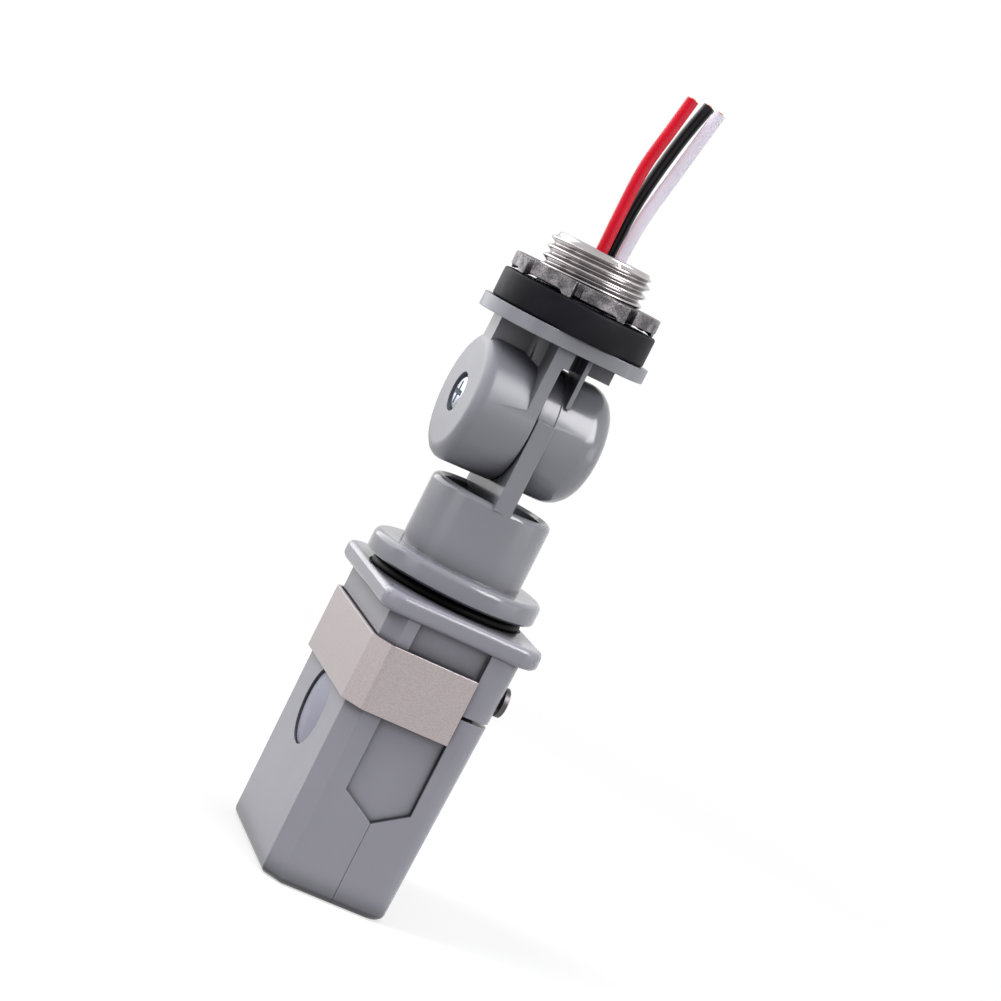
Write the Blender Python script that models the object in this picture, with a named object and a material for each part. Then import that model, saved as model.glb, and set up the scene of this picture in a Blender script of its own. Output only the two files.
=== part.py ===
"""Photocell switch on a swivel stem: a grey moulded housing with a light window and a metal level slide.

Frame: metres, +Z up the stem. The origin is on the neck's axis, at the housing's flat bottom.
The window faces -X. The swivel's axis runs along X.
"""

import math

import bmesh
import bpy
from mathutils import Matrix, Vector

# Clearances
GAP = 0.0003            # between pieces that touch
OVERRUN = 0.002         # how far a cutter passes the face that it cuts
WELD = 0.00001          # points nearer than this are one
HOLE_CLEARANCE = 0.0003 # radial, round a screw or a tube

# Roundness
ROUND_STEPS = 48
SMALL_STEPS = 20
EDGE_STEPS = 3

# Housing, seen from above: front at -X, rear at +X
HOUSING_FRONT = 0.0136
HOUSING_REAR = 0.0136
HOUSING_HALF_WIDTH = 0.0208
FRONT_DRAFT = 0.0003        # how much each side draws in towards the bottom
REAR_DRAFT = 0.0014
SIDE_DRAFT = 0.0004
HOUSING_HEIGHT = 0.0547     # up to the flange
HOUSING_WALL = 0.0022
HOUSING_FLOOR = 0.0024
FRONT_CHAMFER = 0.0031
REAR_RADIUS = 0.0040
BOTTOM_RADIUS = 0.0014

# Flange at the top of the housing
FLANGE_THICKNESS = 0.0039
FLANGE_PROUD_FRONT = 0.0028
FLANGE_PROUD_REAR = 0.0032
FLANGE_PROUD_SIDE = 0.0010
FLANGE_CHAMFER = 0.0040
FLANGE_CORNER_RADIUS = 0.0052
FLANGE_EDGE_RADIUS = 0.0011
ROOF_UNDERSIDE = 0.0542
SEAT_DEPTH = 0.0010         # counterbore for the O-ring
SEAT_RADIUS = 0.0171

# Split between the main shell and the rear cover
SEAM_X = 0.0005
COVER_HEIGHT = 0.0423
GROOVE_WIDTH = 0.0007

# Pocket in each side, in which the slide's hooks run
POCKET_DEPTH = 0.0012
POCKET_LEFT = 0.0067
POCKET_LEFT_WIDE = 0.0080
POCKET_RIGHT = 0.0069
POCKET_WIDE_FROM = 0.0430
POCKET_CORNER_HEIGHT = 0.0212
POCKET_APEX_HEIGHT = 0.0171

# Window
WINDOW_RADIUS = 0.0078
WINDOW_HEIGHT = 0.0291
WINDOW_LEDGE = 0.0011       # wall left behind the lens
WINDOW_LEDGE_WIDTH = 0.0012
LENS_THICKNESS = 0.0010

# Level slide, bent from sheet
SLIDE_SHEET = 0.0007
SLIDE_CLEARANCE = 0.0004
SLIDE_LOW = 0.0362
SLIDE_HEIGHT = 0.0131
SLIDE_END = 0.0066          # how far back along X the two arms reach
HOOK_WIDTH = 0.0062
HOOK_SHEET = 0.0007
HOOK_LENGTH = 0.0013        # how far a hook reaches into its pocket

# Rear cover's tongues and screws
TONGUE_HALF_SPREAD = 0.0132
TONGUE_HALF_WIDTH = 0.0030
TONGUE_THICKNESS = 0.0026
TONGUE_TOP = 0.0494
TONGUE_ROOT = 0.0350
TONGUE_CLEARANCE = 0.0003
COVER_SCREW_HEIGHT = 0.0463
COVER_SCREW_RADIUS = 0.0014
COVER_HEAD_RADIUS = 0.0030
COVER_HEAD_THICKNESS = 0.0021
COVER_SCREW_LENGTH = 0.0068

# Neck, cap disc and spigot of the lower arm
CAP_LOW = 0.0606
CAP_THICKNESS = 0.0043
CAP_RADIUS = 0.0174
CAP_EDGE_RADIUS = 0.0012
NECK_RADIUS = 0.0123
NECK_TOP = 0.0792
NECK_WALL = 0.0020
NECK_EDGE_RADIUS = 0.0012
NECK_FLOOR = 0.0680
SPIGOT_RADIUS = 0.0096
SPIGOT_LENGTH = 0.0092      # below the cap disc
SPIGOT_BORE = 0.0075
RETAINER_THICKNESS = 0.0010
RETAINER_RADIUS = 0.0108
RETAINER_GROOVE_DEPTH = 0.0010
RETAINER_DROP = 0.0004      # below the roof's underside

# O-ring under the cap disc
O_RING_SECTION = 0.0012     # radius of its round section
O_RING_RADIUS = 0.0155

# Swivel
PIVOT_HEIGHT = 0.0944
MATING_X = -0.0032          # end of the upper arm's half of the knuckle
WEB_THICKNESS = 0.0038
WEB_FLAT_RISE = 0.0024      # the web's flat front passes the pivot by this
WEB_HALF_WIDTH = 0.0122
WEB_RECESS = 0.0001         # the disc's two faces stand this proud of the web
WEB_ROOT_HALF_WIDTH = 0.0110
DISC_RADIUS = 0.0120
RIGHT_BARREL_RADIUS = 0.01215
RIGHT_BARREL_END = 0.0126
RIGHT_BARREL_ROUNDING = 0.0053
LEFT_BARREL_END = -0.0157
LEFT_BARREL_RADIUS = 0.0128
LEFT_BARREL_MATING_RADIUS = 0.0125
LEFT_BARREL_ROUNDING = 0.0024
CAVITY_RADIUS = 0.0096
PIVOT_BOSS_RADIUS = 0.0048
END_WALL = 0.0040

# Pivot screw, washer and nut
PIVOT_SCREW_RADIUS = 0.0019
PIVOT_HEAD_RADIUS = 0.0035
PIVOT_HEAD_THICKNESS = 0.0021
PIVOT_HEAD_SUNK = 0.0004
COUNTERBORE_RADIUS = 0.0040
WASHER_THICKNESS = 0.0007
NUT_ACROSS_FLATS = 0.0066
NUT_THICKNESS = 0.0030
NUT_SUNK = 0.0012

# Upper arm
STEM_X = -0.0019            # axis of the stem and the nipple
PLATE_LOW = 0.1108
PLATE_THICKNESS = 0.0027
PLATE_HALF_LENGTH = 0.0170
PLATE_HALF_WIDTH = 0.0150
PLATE_CHAMFER = 0.0052
RIB_THICKNESS = 0.0024
RIB_HALF_WIDTH = 0.0122
CHEEK_THICKNESS = 0.0009
CHEEK_HALF_WIDTH = 0.0109
CHEEK_CLEARANCE = 0.0005
SPINE_HALF_THICKNESS = 0.0030
SPINE_RIGHT = 0.0094
SPINE_RIGHT_LOW = 0.1077
STUB_RADIUS = 0.0072
SLOT_CEILING_CLEARANCE = 0.0005
NIPPLE_SEAT_DEPTH = 0.0020
LEAD_HOLE_CLEARANCE = 0.0003
PASSAGE_HALF_WIDTH = 0.0024
PASSAGE_LOW = 0.1078
PASSAGE_HIGH = 0.1096
PASSAGE_WELL_RIGHT = 0.0063

# Nipple, locknut and gasket
THREAD_RADIUS = 0.010475
NIPPLE_BORE = 0.0079
NIPPLE_TOP = 0.1296
NIPPLE_CHAMFER = 0.0008
GASKET_RADIUS = 0.01566
GASKET_THICKNESS = 0.0053
GASKET_EDGE = 0.0004
LOCKNUT_RADIUS = 0.0150
LOCKNUT_THICKNESS = 0.0034
LOCKNUT_NOTCHES = 8
LOCKNUT_NOTCH_DEPTH = 0.0023
LOCKNUT_NOTCH_WIDTH = 0.0027

# Leads: each route is a smooth curve through these points, which stay as chosen
LEAD_RADIUS = 0.0012
LEAD_STEP = 0.0024
RED_ROUTE = (
    (-0.0033, -0.0014, 0.1086),
    (-0.0033, -0.0014, 0.1160),
    (-0.0032, -0.0014, 0.1230),
    (-0.0032, -0.0014, 0.1304),
    (-0.0033, -0.0014, 0.1380),
    (-0.0031, -0.0014, 0.1469),
    (-0.0017, -0.0014, 0.1553),
    (-0.0005, -0.0014, 0.1623),
)
BLACK_ROUTE = (
    (-0.0008, 0.0015, 0.1086),
    (-0.0008, 0.0015, 0.1160),
    (-0.0007, 0.0015, 0.1230),
    (-0.0006, 0.0015, 0.1306),
    (-0.0005, 0.0015, 0.1385),
    (0.0004, 0.0015, 0.1465),
    (0.0021, 0.0015, 0.1557),
    (0.0039, 0.0015, 0.1627),
)
WHITE_ROUTE = (
    (0.0007, -0.0014, 0.1086),
    (0.0007, -0.0014, 0.1160),
    (0.0007, -0.0014, 0.1230),
    (0.0008, -0.0014, 0.1304),
    (0.0013, -0.0014, 0.1385),
    (0.0032, -0.0014, 0.1497),
    (0.0043, -0.0014, 0.1560),
    (0.0054, -0.0014, 0.1623),
)

# Circuit board and what it carries
BOARD_FRONT = -0.0050
BOARD_THICKNESS = 0.0016
BOARD_HALF_WIDTH = 0.0160
BOARD_LOW = 0.0070
BOARD_HIGH = 0.0480
BOARD_SCREW_HALF_SPREAD = 0.0125
BOARD_SCREW_HEIGHT = 0.0440
BOARD_BOSS_RADIUS = 0.0026
BOARD_SCREW_RADIUS = 0.0011
BOARD_HEAD_RADIUS = 0.0022
BOARD_HEAD_THICKNESS = 0.0014
BOARD_SCREW_LENGTH = 0.0055
CELL_RADIUS = 0.0042
CELL_THICKNESS = 0.0026
CELL_STEP = 0.0006
RELAY_SIZE = (0.0102, 0.0150, 0.0185)
RELAY_CENTRE = (-0.0055, 0.0215)
VARISTOR_RADIUS = 0.0050
VARISTOR_THICKNESS = 0.0040
VARISTOR_CENTRE = (0.0090, 0.0180)
CAPACITOR_RADIUS = 0.0040
CAPACITOR_LENGTH = 0.0098
CAPACITOR_CENTRE = (0.0100, 0.0310)
RESISTOR_RADIUS = 0.0021
RESISTOR_LENGTH = 0.0110
RESISTOR_CENTRE = (-0.0055, 0.0370)
BRIDGE_SIZE = (0.0028, 0.0066, 0.0052)
BRIDGE_CENTRE = (0.0012, 0.0430)

GREY = ((0.25, 0.253, 0.29, 1.0), 0.42, 0.0)
GREY_DARK = ((0.23, 0.23, 0.26, 1.0), 0.42, 0.0)
FROSTED = ((0.38, 0.38, 0.47, 1.0), 0.35, 0.0)
SATIN_NICKEL = ((0.60, 0.57, 0.57, 1.0), 0.38, 1.0)
ZINC = ((0.55, 0.54, 0.55, 1.0), 0.35, 1.0)
NICKEL = ((0.62, 0.60, 0.60, 1.0), 0.22, 1.0)
BLACK_RUBBER = ((0.012, 0.012, 0.014, 1.0), 0.62, 0.0)
RED_PVC = ((0.62, 0.01, 0.02, 1.0), 0.35, 0.0)
BLACK_PVC = ((0.01, 0.01, 0.012, 1.0), 0.35, 0.0)
WHITE_PVC = ((0.78, 0.76, 0.80, 1.0), 0.38, 0.0)
BOARD_GREEN = ((0.02, 0.12, 0.05, 1.0), 0.45, 0.0)
CELL_TAN = ((0.55, 0.38, 0.16, 1.0), 0.40, 0.0)
RELAY_BLUE = ((0.03, 0.10, 0.32, 1.0), 0.40, 0.0)
VARISTOR_BLUE = ((0.02, 0.08, 0.42, 1.0), 0.45, 0.0)
SLEEVE_BLACK = ((0.02, 0.02, 0.02, 1.0), 0.40, 0.0)
RESISTOR_BEIGE = ((0.50, 0.38, 0.24, 1.0), 0.50, 0.0)


def clear_scene():
    """Remove every object of the startup scene."""
    for obj in list(bpy.data.objects):
        bpy.data.objects.remove(obj, do_unlink=True)


def finish_of(name, finish):
    """A Principled material with the piece's colour, roughness and metallic value."""
    colour, roughness, metallic = finish
    material = bpy.data.materials.new(name + "_finish")
    material.use_nodes = True
    shader = material.node_tree.nodes["Principled BSDF"]
    shader.inputs["Base Color"].default_value = colour
    shader.inputs["Roughness"].default_value = roughness
    shader.inputs["Metallic"].default_value = metallic
    return material


def piece(name, shape, finish, parent=None):
    """A named object made from a bmesh, with its own material."""
    bmesh.ops.recalc_face_normals(shape, faces=shape.faces)
    mesh = bpy.data.meshes.new(name)
    shape.to_mesh(mesh)
    shape.free()
    mesh.materials.append(finish_of(name, finish))
    mesh.shade_smooth()
    mesh.set_sharp_from_angle(angle=math.radians(35))
    obj = bpy.data.objects.new(name, mesh)
    bpy.context.scene.collection.objects.link(obj)
    if parent is not None:
        hang(obj, parent)
    return obj


def hang(obj, parent):
    """Parent an object to an empty and leave it where it is."""
    obj.parent = parent
    obj.matrix_parent_inverse = Matrix.Translation(-parent.location)


def helper(name, shape):
    """A cutter or an added block: drawn as wire, never rendered."""
    bmesh.ops.recalc_face_normals(shape, faces=shape.faces)
    mesh = bpy.data.meshes.new(name)
    shape.to_mesh(mesh)
    shape.free()
    obj = bpy.data.objects.new(name, mesh)
    bpy.context.scene.collection.objects.link(obj)
    obj.hide_render = True
    obj.display_type = "WIRE"
    return obj


def combine(obj, tool, operation):
    """Add one Boolean of the exact solver to an object."""
    step = obj.modifiers.new(tool.name, "BOOLEAN")
    step.operation = operation
    step.solver = "EXACT"
    step.object = tool


def cut(obj, name, shape):
    """Cut a shape from an object."""
    combine(obj, helper(name, shape), "DIFFERENCE")


def add(obj, name, shape):
    """Fuse a shape to an object."""
    combine(obj, helper(name, shape), "UNION")


def keep(obj, name, shape):
    """Keep only what lies inside a shape."""
    combine(obj, helper(name, shape), "INTERSECT")


def joint_empty(name, place):
    """The empty that carries one moving group, on its joint's axis."""
    empty = bpy.data.objects.new(name, None)
    empty.location = place
    bpy.context.scene.collection.objects.link(empty)
    return empty


def loft(rings):
    """A closed solid through rings of equally many points, from the lowest to the highest."""
    shape = bmesh.new()
    loops = [[shape.verts.new(point) for point in ring] for ring in rings]
    for low, high in zip(loops, loops[1:]):
        count = len(low)
        for i in range(count):
            j = (i + 1) % count
            shape.faces.new((low[i], low[j], high[j], high[i]))
    shape.faces.new(loops[0])
    shape.faces.new(loops[-1])
    return shape


def prism(outline, axis, low, high):
    """An outline of (across, up) pairs extruded along X, Y or Z."""
    places = {
        "X": lambda a, b, t: (t, a, b),
        "Y": lambda a, b, t: (a, t, b),
        "Z": lambda a, b, t: (a, b, t),
    }[axis]
    return loft([[places(a, b, level) for a, b in outline] for level in (low, high)])


def block(x_span, y_span, z_span):
    """A box between two corners."""
    (x0, x1), (y0, y1), (z0, z1) = x_span, y_span, z_span
    return prism([(x0, y0), (x1, y0), (x1, y1), (x0, y1)], "Z", z0, z1)


def turned(profile, steps=ROUND_STEPS):
    """A solid of revolution about Z from (radius, height) points.

    A profile that starts on the axis also ends there, and each flat end is one face.
    Any other profile closes on itself.
    """
    shape = bmesh.new()
    points = [shape.verts.new((radius, 0.0, height)) for radius, height in profile]
    pairs = list(zip(points, points[1:]))
    if profile[0][0] > 0:
        pairs.append((points[-1], points[0]))
    edges = [shape.edges.new(pair) for pair in pairs]
    bmesh.ops.spin(
        shape,
        geom=points + edges,
        cent=(0, 0, 0),
        axis=(0, 0, 1),
        angle=2 * math.pi,
        steps=steps,
        use_merge=True,
    )
    bmesh.ops.remove_doubles(shape, verts=shape.verts, dist=WELD)
    poles = [point for point in shape.verts if math.hypot(point.co.x, point.co.y) < WELD]
    bmesh.ops.dissolve_verts(shape, verts=poles)
    return shape


def tube(inner, outer, low, high, steps=ROUND_STEPS):
    """A plain ring."""
    return turned([(inner, low), (outer, low), (outer, high), (inner, high)], steps)


def rod(radius, low, high, steps=ROUND_STEPS):
    """A plain round bar."""
    return turned([(0, low), (radius, low), (radius, high), (0, high)], steps)


def moved(shape, place):
    """The shape, shifted."""
    bmesh.ops.translate(shape, verts=shape.verts, vec=place)
    return shape


def along_x(shape, place=(0, 0, 0)):
    """The shape with its Z axis laid along +X, then shifted."""
    bmesh.ops.rotate(shape, verts=shape.verts, cent=(0, 0, 0), matrix=Matrix.Rotation(math.pi / 2, 3, "Y"))
    return moved(shape, place)


def arc(centre, radius, start, end, steps):
    """Points of an arc, in degrees, ends included."""
    points = []
    for i in range(steps + 1):
        angle = math.radians(start + (end - start) * i / steps)
        points.append((centre[0] + radius * math.cos(angle), centre[1] + radius * math.sin(angle)))
    return points


def housing_outline(front, rear, half_width, chamfer, radius):
    """Seen from above: two chamfered corners at the front and two round ones at the rear."""
    side = half_width - radius
    return (
        [(-front, -half_width + chamfer), (-front + chamfer, -half_width)]
        + arc((rear - radius, -side), radius, -90, 0, EDGE_STEPS + 1)
        + arc((rear - radius, side), radius, 0, 90, EDGE_STEPS + 1)
        + [(-front + chamfer, half_width), (-front, half_width - chamfer)]
    )


def housing_ring(height, inset=0.0):
    """One section of the housing's outside, drawn in by an inset."""
    low = 1 - height / HOUSING_HEIGHT
    outline = housing_outline(
        HOUSING_FRONT - FRONT_DRAFT * low - inset,
        HOUSING_REAR - REAR_DRAFT * low - inset,
        HOUSING_HALF_WIDTH - SIDE_DRAFT * low - inset,
        FRONT_CHAMFER,
        REAR_RADIUS - inset / 2,
    )
    return [(x, y, height) for x, y in outline]


def flange_ring(height, inset=0.0):
    """One section of the flange."""
    outline = housing_outline(
        HOUSING_FRONT + FLANGE_PROUD_FRONT - inset,
        HOUSING_REAR + FLANGE_PROUD_REAR - inset,
        HOUSING_HALF_WIDTH + FLANGE_PROUD_SIDE - inset,
        FLANGE_CHAMFER,
        FLANGE_CORNER_RADIUS - inset / 2,
    )
    return [(x, y, height) for x, y in outline]


def rounding(radius):
    """(inset, rise) pairs of a quarter round, from the face to the side."""
    return [
        (radius * (1 - math.sin(angle)), radius * (1 - math.cos(angle)))
        for angle in (math.pi / 2 * i / EDGE_STEPS for i in range(EDGE_STEPS + 1))
    ]


def housing_outside():
    """The outside of the closed housing with its flange."""
    top = HOUSING_HEIGHT + FLANGE_THICKNESS
    rings = [housing_ring(rise, inset) for inset, rise in rounding(BOTTOM_RADIUS)]
    rings.append(housing_ring(HOUSING_HEIGHT))
    edge = rounding(FLANGE_EDGE_RADIUS)
    rings += [flange_ring(HOUSING_HEIGHT + rise, inset) for inset, rise in edge]
    rings += [flange_ring(top - rise, inset) for inset, rise in reversed(edge)]
    return loft(rings)


def housing_inside():
    """The hollow of the closed housing."""
    return loft(
        [
            housing_ring(HOUSING_FLOOR, HOUSING_WALL),
            housing_ring(ROOF_UNDERSIDE, HOUSING_WALL),
        ]
    )


def cover_side(shrink):
    """Seen from the side: the region of the rear cover, drawn in by a gap."""
    seam = SEAM_X + shrink
    pocket = POCKET_RIGHT + shrink
    rear = HOUSING_REAR + OVERRUN
    slope = (POCKET_CORNER_HEIGHT - POCKET_APEX_HEIGHT) / (POCKET_RIGHT - SEAM_X)
    top = COVER_HEIGHT - shrink * (GROOVE_WIDTH / GAP)
    return [
        (seam, -OVERRUN),
        (rear, -OVERRUN),
        (rear, top),
        (pocket, top),
        (pocket, POCKET_CORNER_HEIGHT - shrink),
        (seam, POCKET_APEX_HEIGHT - shrink * (1 + slope)),
    ]


def cover_region(shrink=0.0):
    """The cover's region, across the whole width."""
    reach = HOUSING_HALF_WIDTH + OVERRUN
    return prism(cover_side(shrink), "Y", -reach, reach)


def pocket_side():
    """Seen from the side: the pocket's outline with its pointed foot."""
    top = HOUSING_HEIGHT
    return [
        (-POCKET_LEFT, POCKET_CORNER_HEIGHT),
        (SEAM_X, POCKET_APEX_HEIGHT),
        (POCKET_RIGHT, POCKET_CORNER_HEIGHT),
        (POCKET_RIGHT, top),
        (-POCKET_LEFT_WIDE, top),
        (-POCKET_LEFT_WIDE, POCKET_WIDE_FROM),
        (-POCKET_LEFT, POCKET_WIDE_FROM),
    ]


def front_face_at(height):
    """X of the housing's front face at a height."""
    return -(HOUSING_FRONT - FRONT_DRAFT * (1 - height / HOUSING_HEIGHT))


def rear_face_at(height):
    """X of the housing's rear face at a height."""
    return HOUSING_REAR - REAR_DRAFT * (1 - height / HOUSING_HEIGHT)


def make_front_housing(parent):
    """The main shell: front, upper rear, roof and flange."""
    obj = piece("front_housing", housing_outside(), GREY, parent)
    cut(obj, "housing_hollow", housing_inside())
    cut(obj, "cover_cut", cover_region())
    for side, name in ((-1, "near"), (1, "far")):
        floor = side * (HOUSING_HALF_WIDTH - POCKET_DEPTH)
        outside = side * (HOUSING_HALF_WIDTH + OVERRUN)
        cut(obj, "pocket_" + name, prism(pocket_side(), "Y", min(floor, outside), max(floor, outside)))
    top = HOUSING_HEIGHT + FLANGE_THICKNESS
    cut(obj, "o_ring_seat", rod(SEAT_RADIUS, top - SEAT_DEPTH, top + OVERRUN))
    bore = SPIGOT_RADIUS + HOLE_CLEARANCE
    cut(obj, "neck_bore", rod(bore, ROOF_UNDERSIDE - OVERRUN, top + OVERRUN))
    face = front_face_at(WINDOW_HEIGHT)
    ledge = face + HOUSING_WALL - WINDOW_LEDGE
    window = turned(
        [
            (0, face - OVERRUN),
            (WINDOW_RADIUS, face - OVERRUN),
            (WINDOW_RADIUS, ledge),
            (WINDOW_RADIUS - WINDOW_LEDGE_WIDTH, ledge),
            (WINDOW_RADIUS - WINDOW_LEDGE_WIDTH, face + HOUSING_WALL + OVERRUN),
            (0, face + HOUSING_WALL + OVERRUN),
        ]
    )
    cut(obj, "window_hole", along_x(window, (0, 0, WINDOW_HEIGHT)))
    for side, name in ((-1, "near"), (1, "far")):
        y = side * TONGUE_HALF_SPREAD
        hole = rod(
            COVER_SCREW_RADIUS + HOLE_CLEARANCE,
            HOUSING_REAR - HOUSING_WALL - OVERRUN,
            HOUSING_REAR + OVERRUN,
            SMALL_STEPS,
        )
        cut(obj, "collar_hole_" + name, along_x(hole, (0, y, COVER_SCREW_HEIGHT)))
    wall = front_face_at(BOARD_SCREW_HEIGHT) + HOUSING_WALL / 2
    for side, name in ((-1, "near"), (1, "far")):
        place = (0, side * BOARD_SCREW_HALF_SPREAD, BOARD_SCREW_HEIGHT)
        add(obj, "board_boss_" + name, along_x(rod(BOARD_BOSS_RADIUS, wall, BOARD_FRONT - GAP, SMALL_STEPS), place))
        pilot = rod(
            BOARD_SCREW_RADIUS + HOLE_CLEARANCE,
            wall + HOUSING_WALL,
            BOARD_FRONT + OVERRUN,
            SMALL_STEPS,
        )
        cut(obj, "board_pilot_" + name, along_x(pilot, place))
    return obj


def make_rear_cover(parent):
    """The lower rear shell, with two tongues that reach up behind the collar."""
    obj = piece("rear_cover", housing_outside(), GREY, parent)
    cut(obj, "cover_hollow", housing_inside())
    keep(obj, "cover_keep", cover_region(GAP))
    inner = rear_face_at(COVER_HEIGHT) - HOUSING_WALL - TONGUE_CLEARANCE
    root = inner - TONGUE_THICKNESS
    for side, name in ((-1, "near"), (1, "far")):
        y = side * TONGUE_HALF_SPREAD
        span = (y - TONGUE_HALF_WIDTH, y + TONGUE_HALF_WIDTH)
        outline = [
            (root, TONGUE_ROOT + TONGUE_THICKNESS),
            (rear_face_at(TONGUE_ROOT) - HOUSING_WALL / 2, TONGUE_ROOT),
            (rear_face_at(TONGUE_ROOT) - HOUSING_WALL / 2, COVER_HEIGHT - GROOVE_WIDTH - TONGUE_CLEARANCE),
            (inner, COVER_HEIGHT - GROOVE_WIDTH - TONGUE_CLEARANCE),
            (inner, TONGUE_TOP),
            (root, TONGUE_TOP),
        ]
        add(obj, "tongue_" + name, prism(outline, "Y", *span))
        pilot = rod(
            COVER_SCREW_RADIUS + HOLE_CLEARANCE,
            root - OVERRUN,
            inner + OVERRUN,
            SMALL_STEPS,
        )
        cut(obj, "tongue_pilot_" + name, along_x(pilot, (0, y, COVER_SCREW_HEIGHT)))
    return obj


def make_window_lens(parent):
    """The frosted disc in the front face."""
    seat = front_face_at(WINDOW_HEIGHT) + HOUSING_WALL - WINDOW_LEDGE - GAP
    shape = rod(WINDOW_RADIUS - GAP, seat - LENS_THICKNESS, seat)
    return piece("window_lens", along_x(shape, (0, 0, WINDOW_HEIGHT)), FROSTED, parent)


def slide_line(offset):
    """Seen from above: the slide's path from one arm's end to the other, outside the housing."""
    front = HOUSING_FRONT + offset
    side = HOUSING_HALF_WIDTH + offset
    fold = FRONT_CHAMFER + offset * math.tan(math.pi / 8)
    near = [(SLIDE_END, -side), (-front + fold, -side), (-front, -side + fold)]
    return near + [(x, -y) for x, y in reversed(near)]


def make_level_slide(parent):
    """One bent sheet: front, two folds and two arms whose hooks run in the side pockets."""
    inner = slide_line(SLIDE_CLEARANCE)
    outer = slide_line(SLIDE_CLEARANCE + SLIDE_SHEET)
    outline = outer + list(reversed(inner))
    obj = piece("level_slide", prism(outline, "Z", SLIDE_LOW, SLIDE_LOW + SLIDE_HEIGHT), SATIN_NICKEL, parent)
    middle = SLIDE_LOW + SLIDE_HEIGHT / 2
    heights = (middle - HOOK_WIDTH / 2, middle + HOOK_WIDTH / 2)
    root = HOUSING_HALF_WIDTH + SLIDE_CLEARANCE + SLIDE_SHEET / 2
    tip = HOUSING_HALF_WIDTH + SLIDE_CLEARANCE - HOOK_LENGTH
    for side, name in ((-1, "near"), (1, "far")):
        span = (min(side * root, side * tip), max(side * root, side * tip))
        add(obj, "hook_" + name, block((SLIDE_END - HOOK_SHEET, SLIDE_END), span, heights))
    return obj


def screw(head_radius, head_thickness, radius, length, crown_share=0.45):
    """A pan-head screw: its head sits above height 0, its shank hangs below."""
    crown = head_radius * crown_share
    profile = [
        (0, -length),
        (radius, -length),
        (radius, 0),
        (head_radius, 0),
        (head_radius, head_thickness - crown / 2),
        (head_radius - crown / 2, head_thickness - crown / 8),
        (head_radius - crown, head_thickness),
        (0, head_thickness),
    ]
    return turned(profile, SMALL_STEPS)


def cross_recess(width, reach, top, depth):
    """Two crossed bars that cut a drive recess."""
    shape = block((-reach, reach), (-width / 2, width / 2), (top - depth, top + OVERRUN))
    other = block((-width / 2, width / 2), (-reach, reach), (top - depth, top + OVERRUN))
    return shape, other


def make_cover_screws(parent):
    """The two screws through the collar into the cover's tongues."""
    recess_width_share = 0.28
    recess_reach_share = 0.6
    recess_depth_share = 0.5
    made = []
    for side, name in ((-1, "near"), (1, "far")):
        y = side * TONGUE_HALF_SPREAD
        place = (rear_face_at(COVER_SCREW_HEIGHT) + GAP, y, COVER_SCREW_HEIGHT)
        shape = screw(COVER_HEAD_RADIUS, COVER_HEAD_THICKNESS, COVER_SCREW_RADIUS, COVER_SCREW_LENGTH)
        obj = piece("cover_screw_" + name, along_x(shape, place), ZINC, parent)
        bars = cross_recess(
            COVER_HEAD_RADIUS * recess_width_share,
            COVER_HEAD_RADIUS * recess_reach_share,
            COVER_HEAD_THICKNESS,
            COVER_HEAD_THICKNESS * recess_depth_share,
        )
        for i, bar in enumerate(bars):
            cut(obj, f"cover_recess_{name}_{i}", along_x(bar, place))
        made.append(obj)
    return made


def make_o_ring(parent):
    """The seal between the flange's seat and the cap disc."""
    low = HOUSING_HEIGHT + FLANGE_THICKNESS - SEAT_DEPTH + GAP
    section = arc((O_RING_RADIUS, low + O_RING_SECTION), O_RING_SECTION, 0, 330, 11)
    return piece("o_ring", turned(section), BLACK_RUBBER, parent)


def lower_arm_profile():
    """Spigot, cap disc and neck as one turned profile, bore included."""
    spigot_low = CAP_LOW - SPIGOT_LENGTH
    ring_top = ROOF_UNDERSIDE - RETAINER_DROP + GAP
    ring_low = ROOF_UNDERSIDE - RETAINER_DROP - RETAINER_THICKNESS - GAP
    groove = SPIGOT_RADIUS - RETAINER_GROOVE_DEPTH
    cap_top = CAP_LOW + CAP_THICKNESS
    rim_inner = NECK_RADIUS - NECK_WALL
    lip = CAP_EDGE_RADIUS / 3
    profile = [
        (SPIGOT_BORE, spigot_low),
        (SPIGOT_RADIUS, spigot_low),
        (SPIGOT_RADIUS, ring_low),
        (groove, ring_low),
        (groove, ring_top),
        (SPIGOT_RADIUS, ring_top),
        (SPIGOT_RADIUS, CAP_LOW),
        (CAP_RADIUS - lip, CAP_LOW),
        (CAP_RADIUS, CAP_LOW + lip),
    ]
    profile += arc((CAP_RADIUS - CAP_EDGE_RADIUS, cap_top - CAP_EDGE_RADIUS), CAP_EDGE_RADIUS, 0, 90, EDGE_STEPS)
    profile.append((NECK_RADIUS, cap_top))
    profile += arc((NECK_RADIUS - NECK_EDGE_RADIUS, NECK_TOP - NECK_EDGE_RADIUS), NECK_EDGE_RADIUS, 0, 90, EDGE_STEPS)
    profile += [
        (rim_inner, NECK_TOP - NECK_EDGE_RADIUS / 2),
        (rim_inner, NECK_FLOOR),
        (SPIGOT_BORE, NECK_FLOOR),
    ]
    return profile


def right_barrel_profile(start):
    """The lower arm's half of the knuckle, round at its free end."""
    profile = [(0, start), (RIGHT_BARREL_RADIUS, start)]
    centre = (RIGHT_BARREL_RADIUS - RIGHT_BARREL_ROUNDING, RIGHT_BARREL_END - RIGHT_BARREL_ROUNDING)
    profile += arc(centre, RIGHT_BARREL_ROUNDING, 0, 90, 2 * EDGE_STEPS)
    profile.append((0, RIGHT_BARREL_END))
    return profile


def hexagon(across_flats):
    """A hexagon with two flats level."""
    radius = across_flats / math.sqrt(3)
    return [(radius * math.cos(math.radians(60 * i)), radius * math.sin(math.radians(60 * i))) for i in range(6)]


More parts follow.
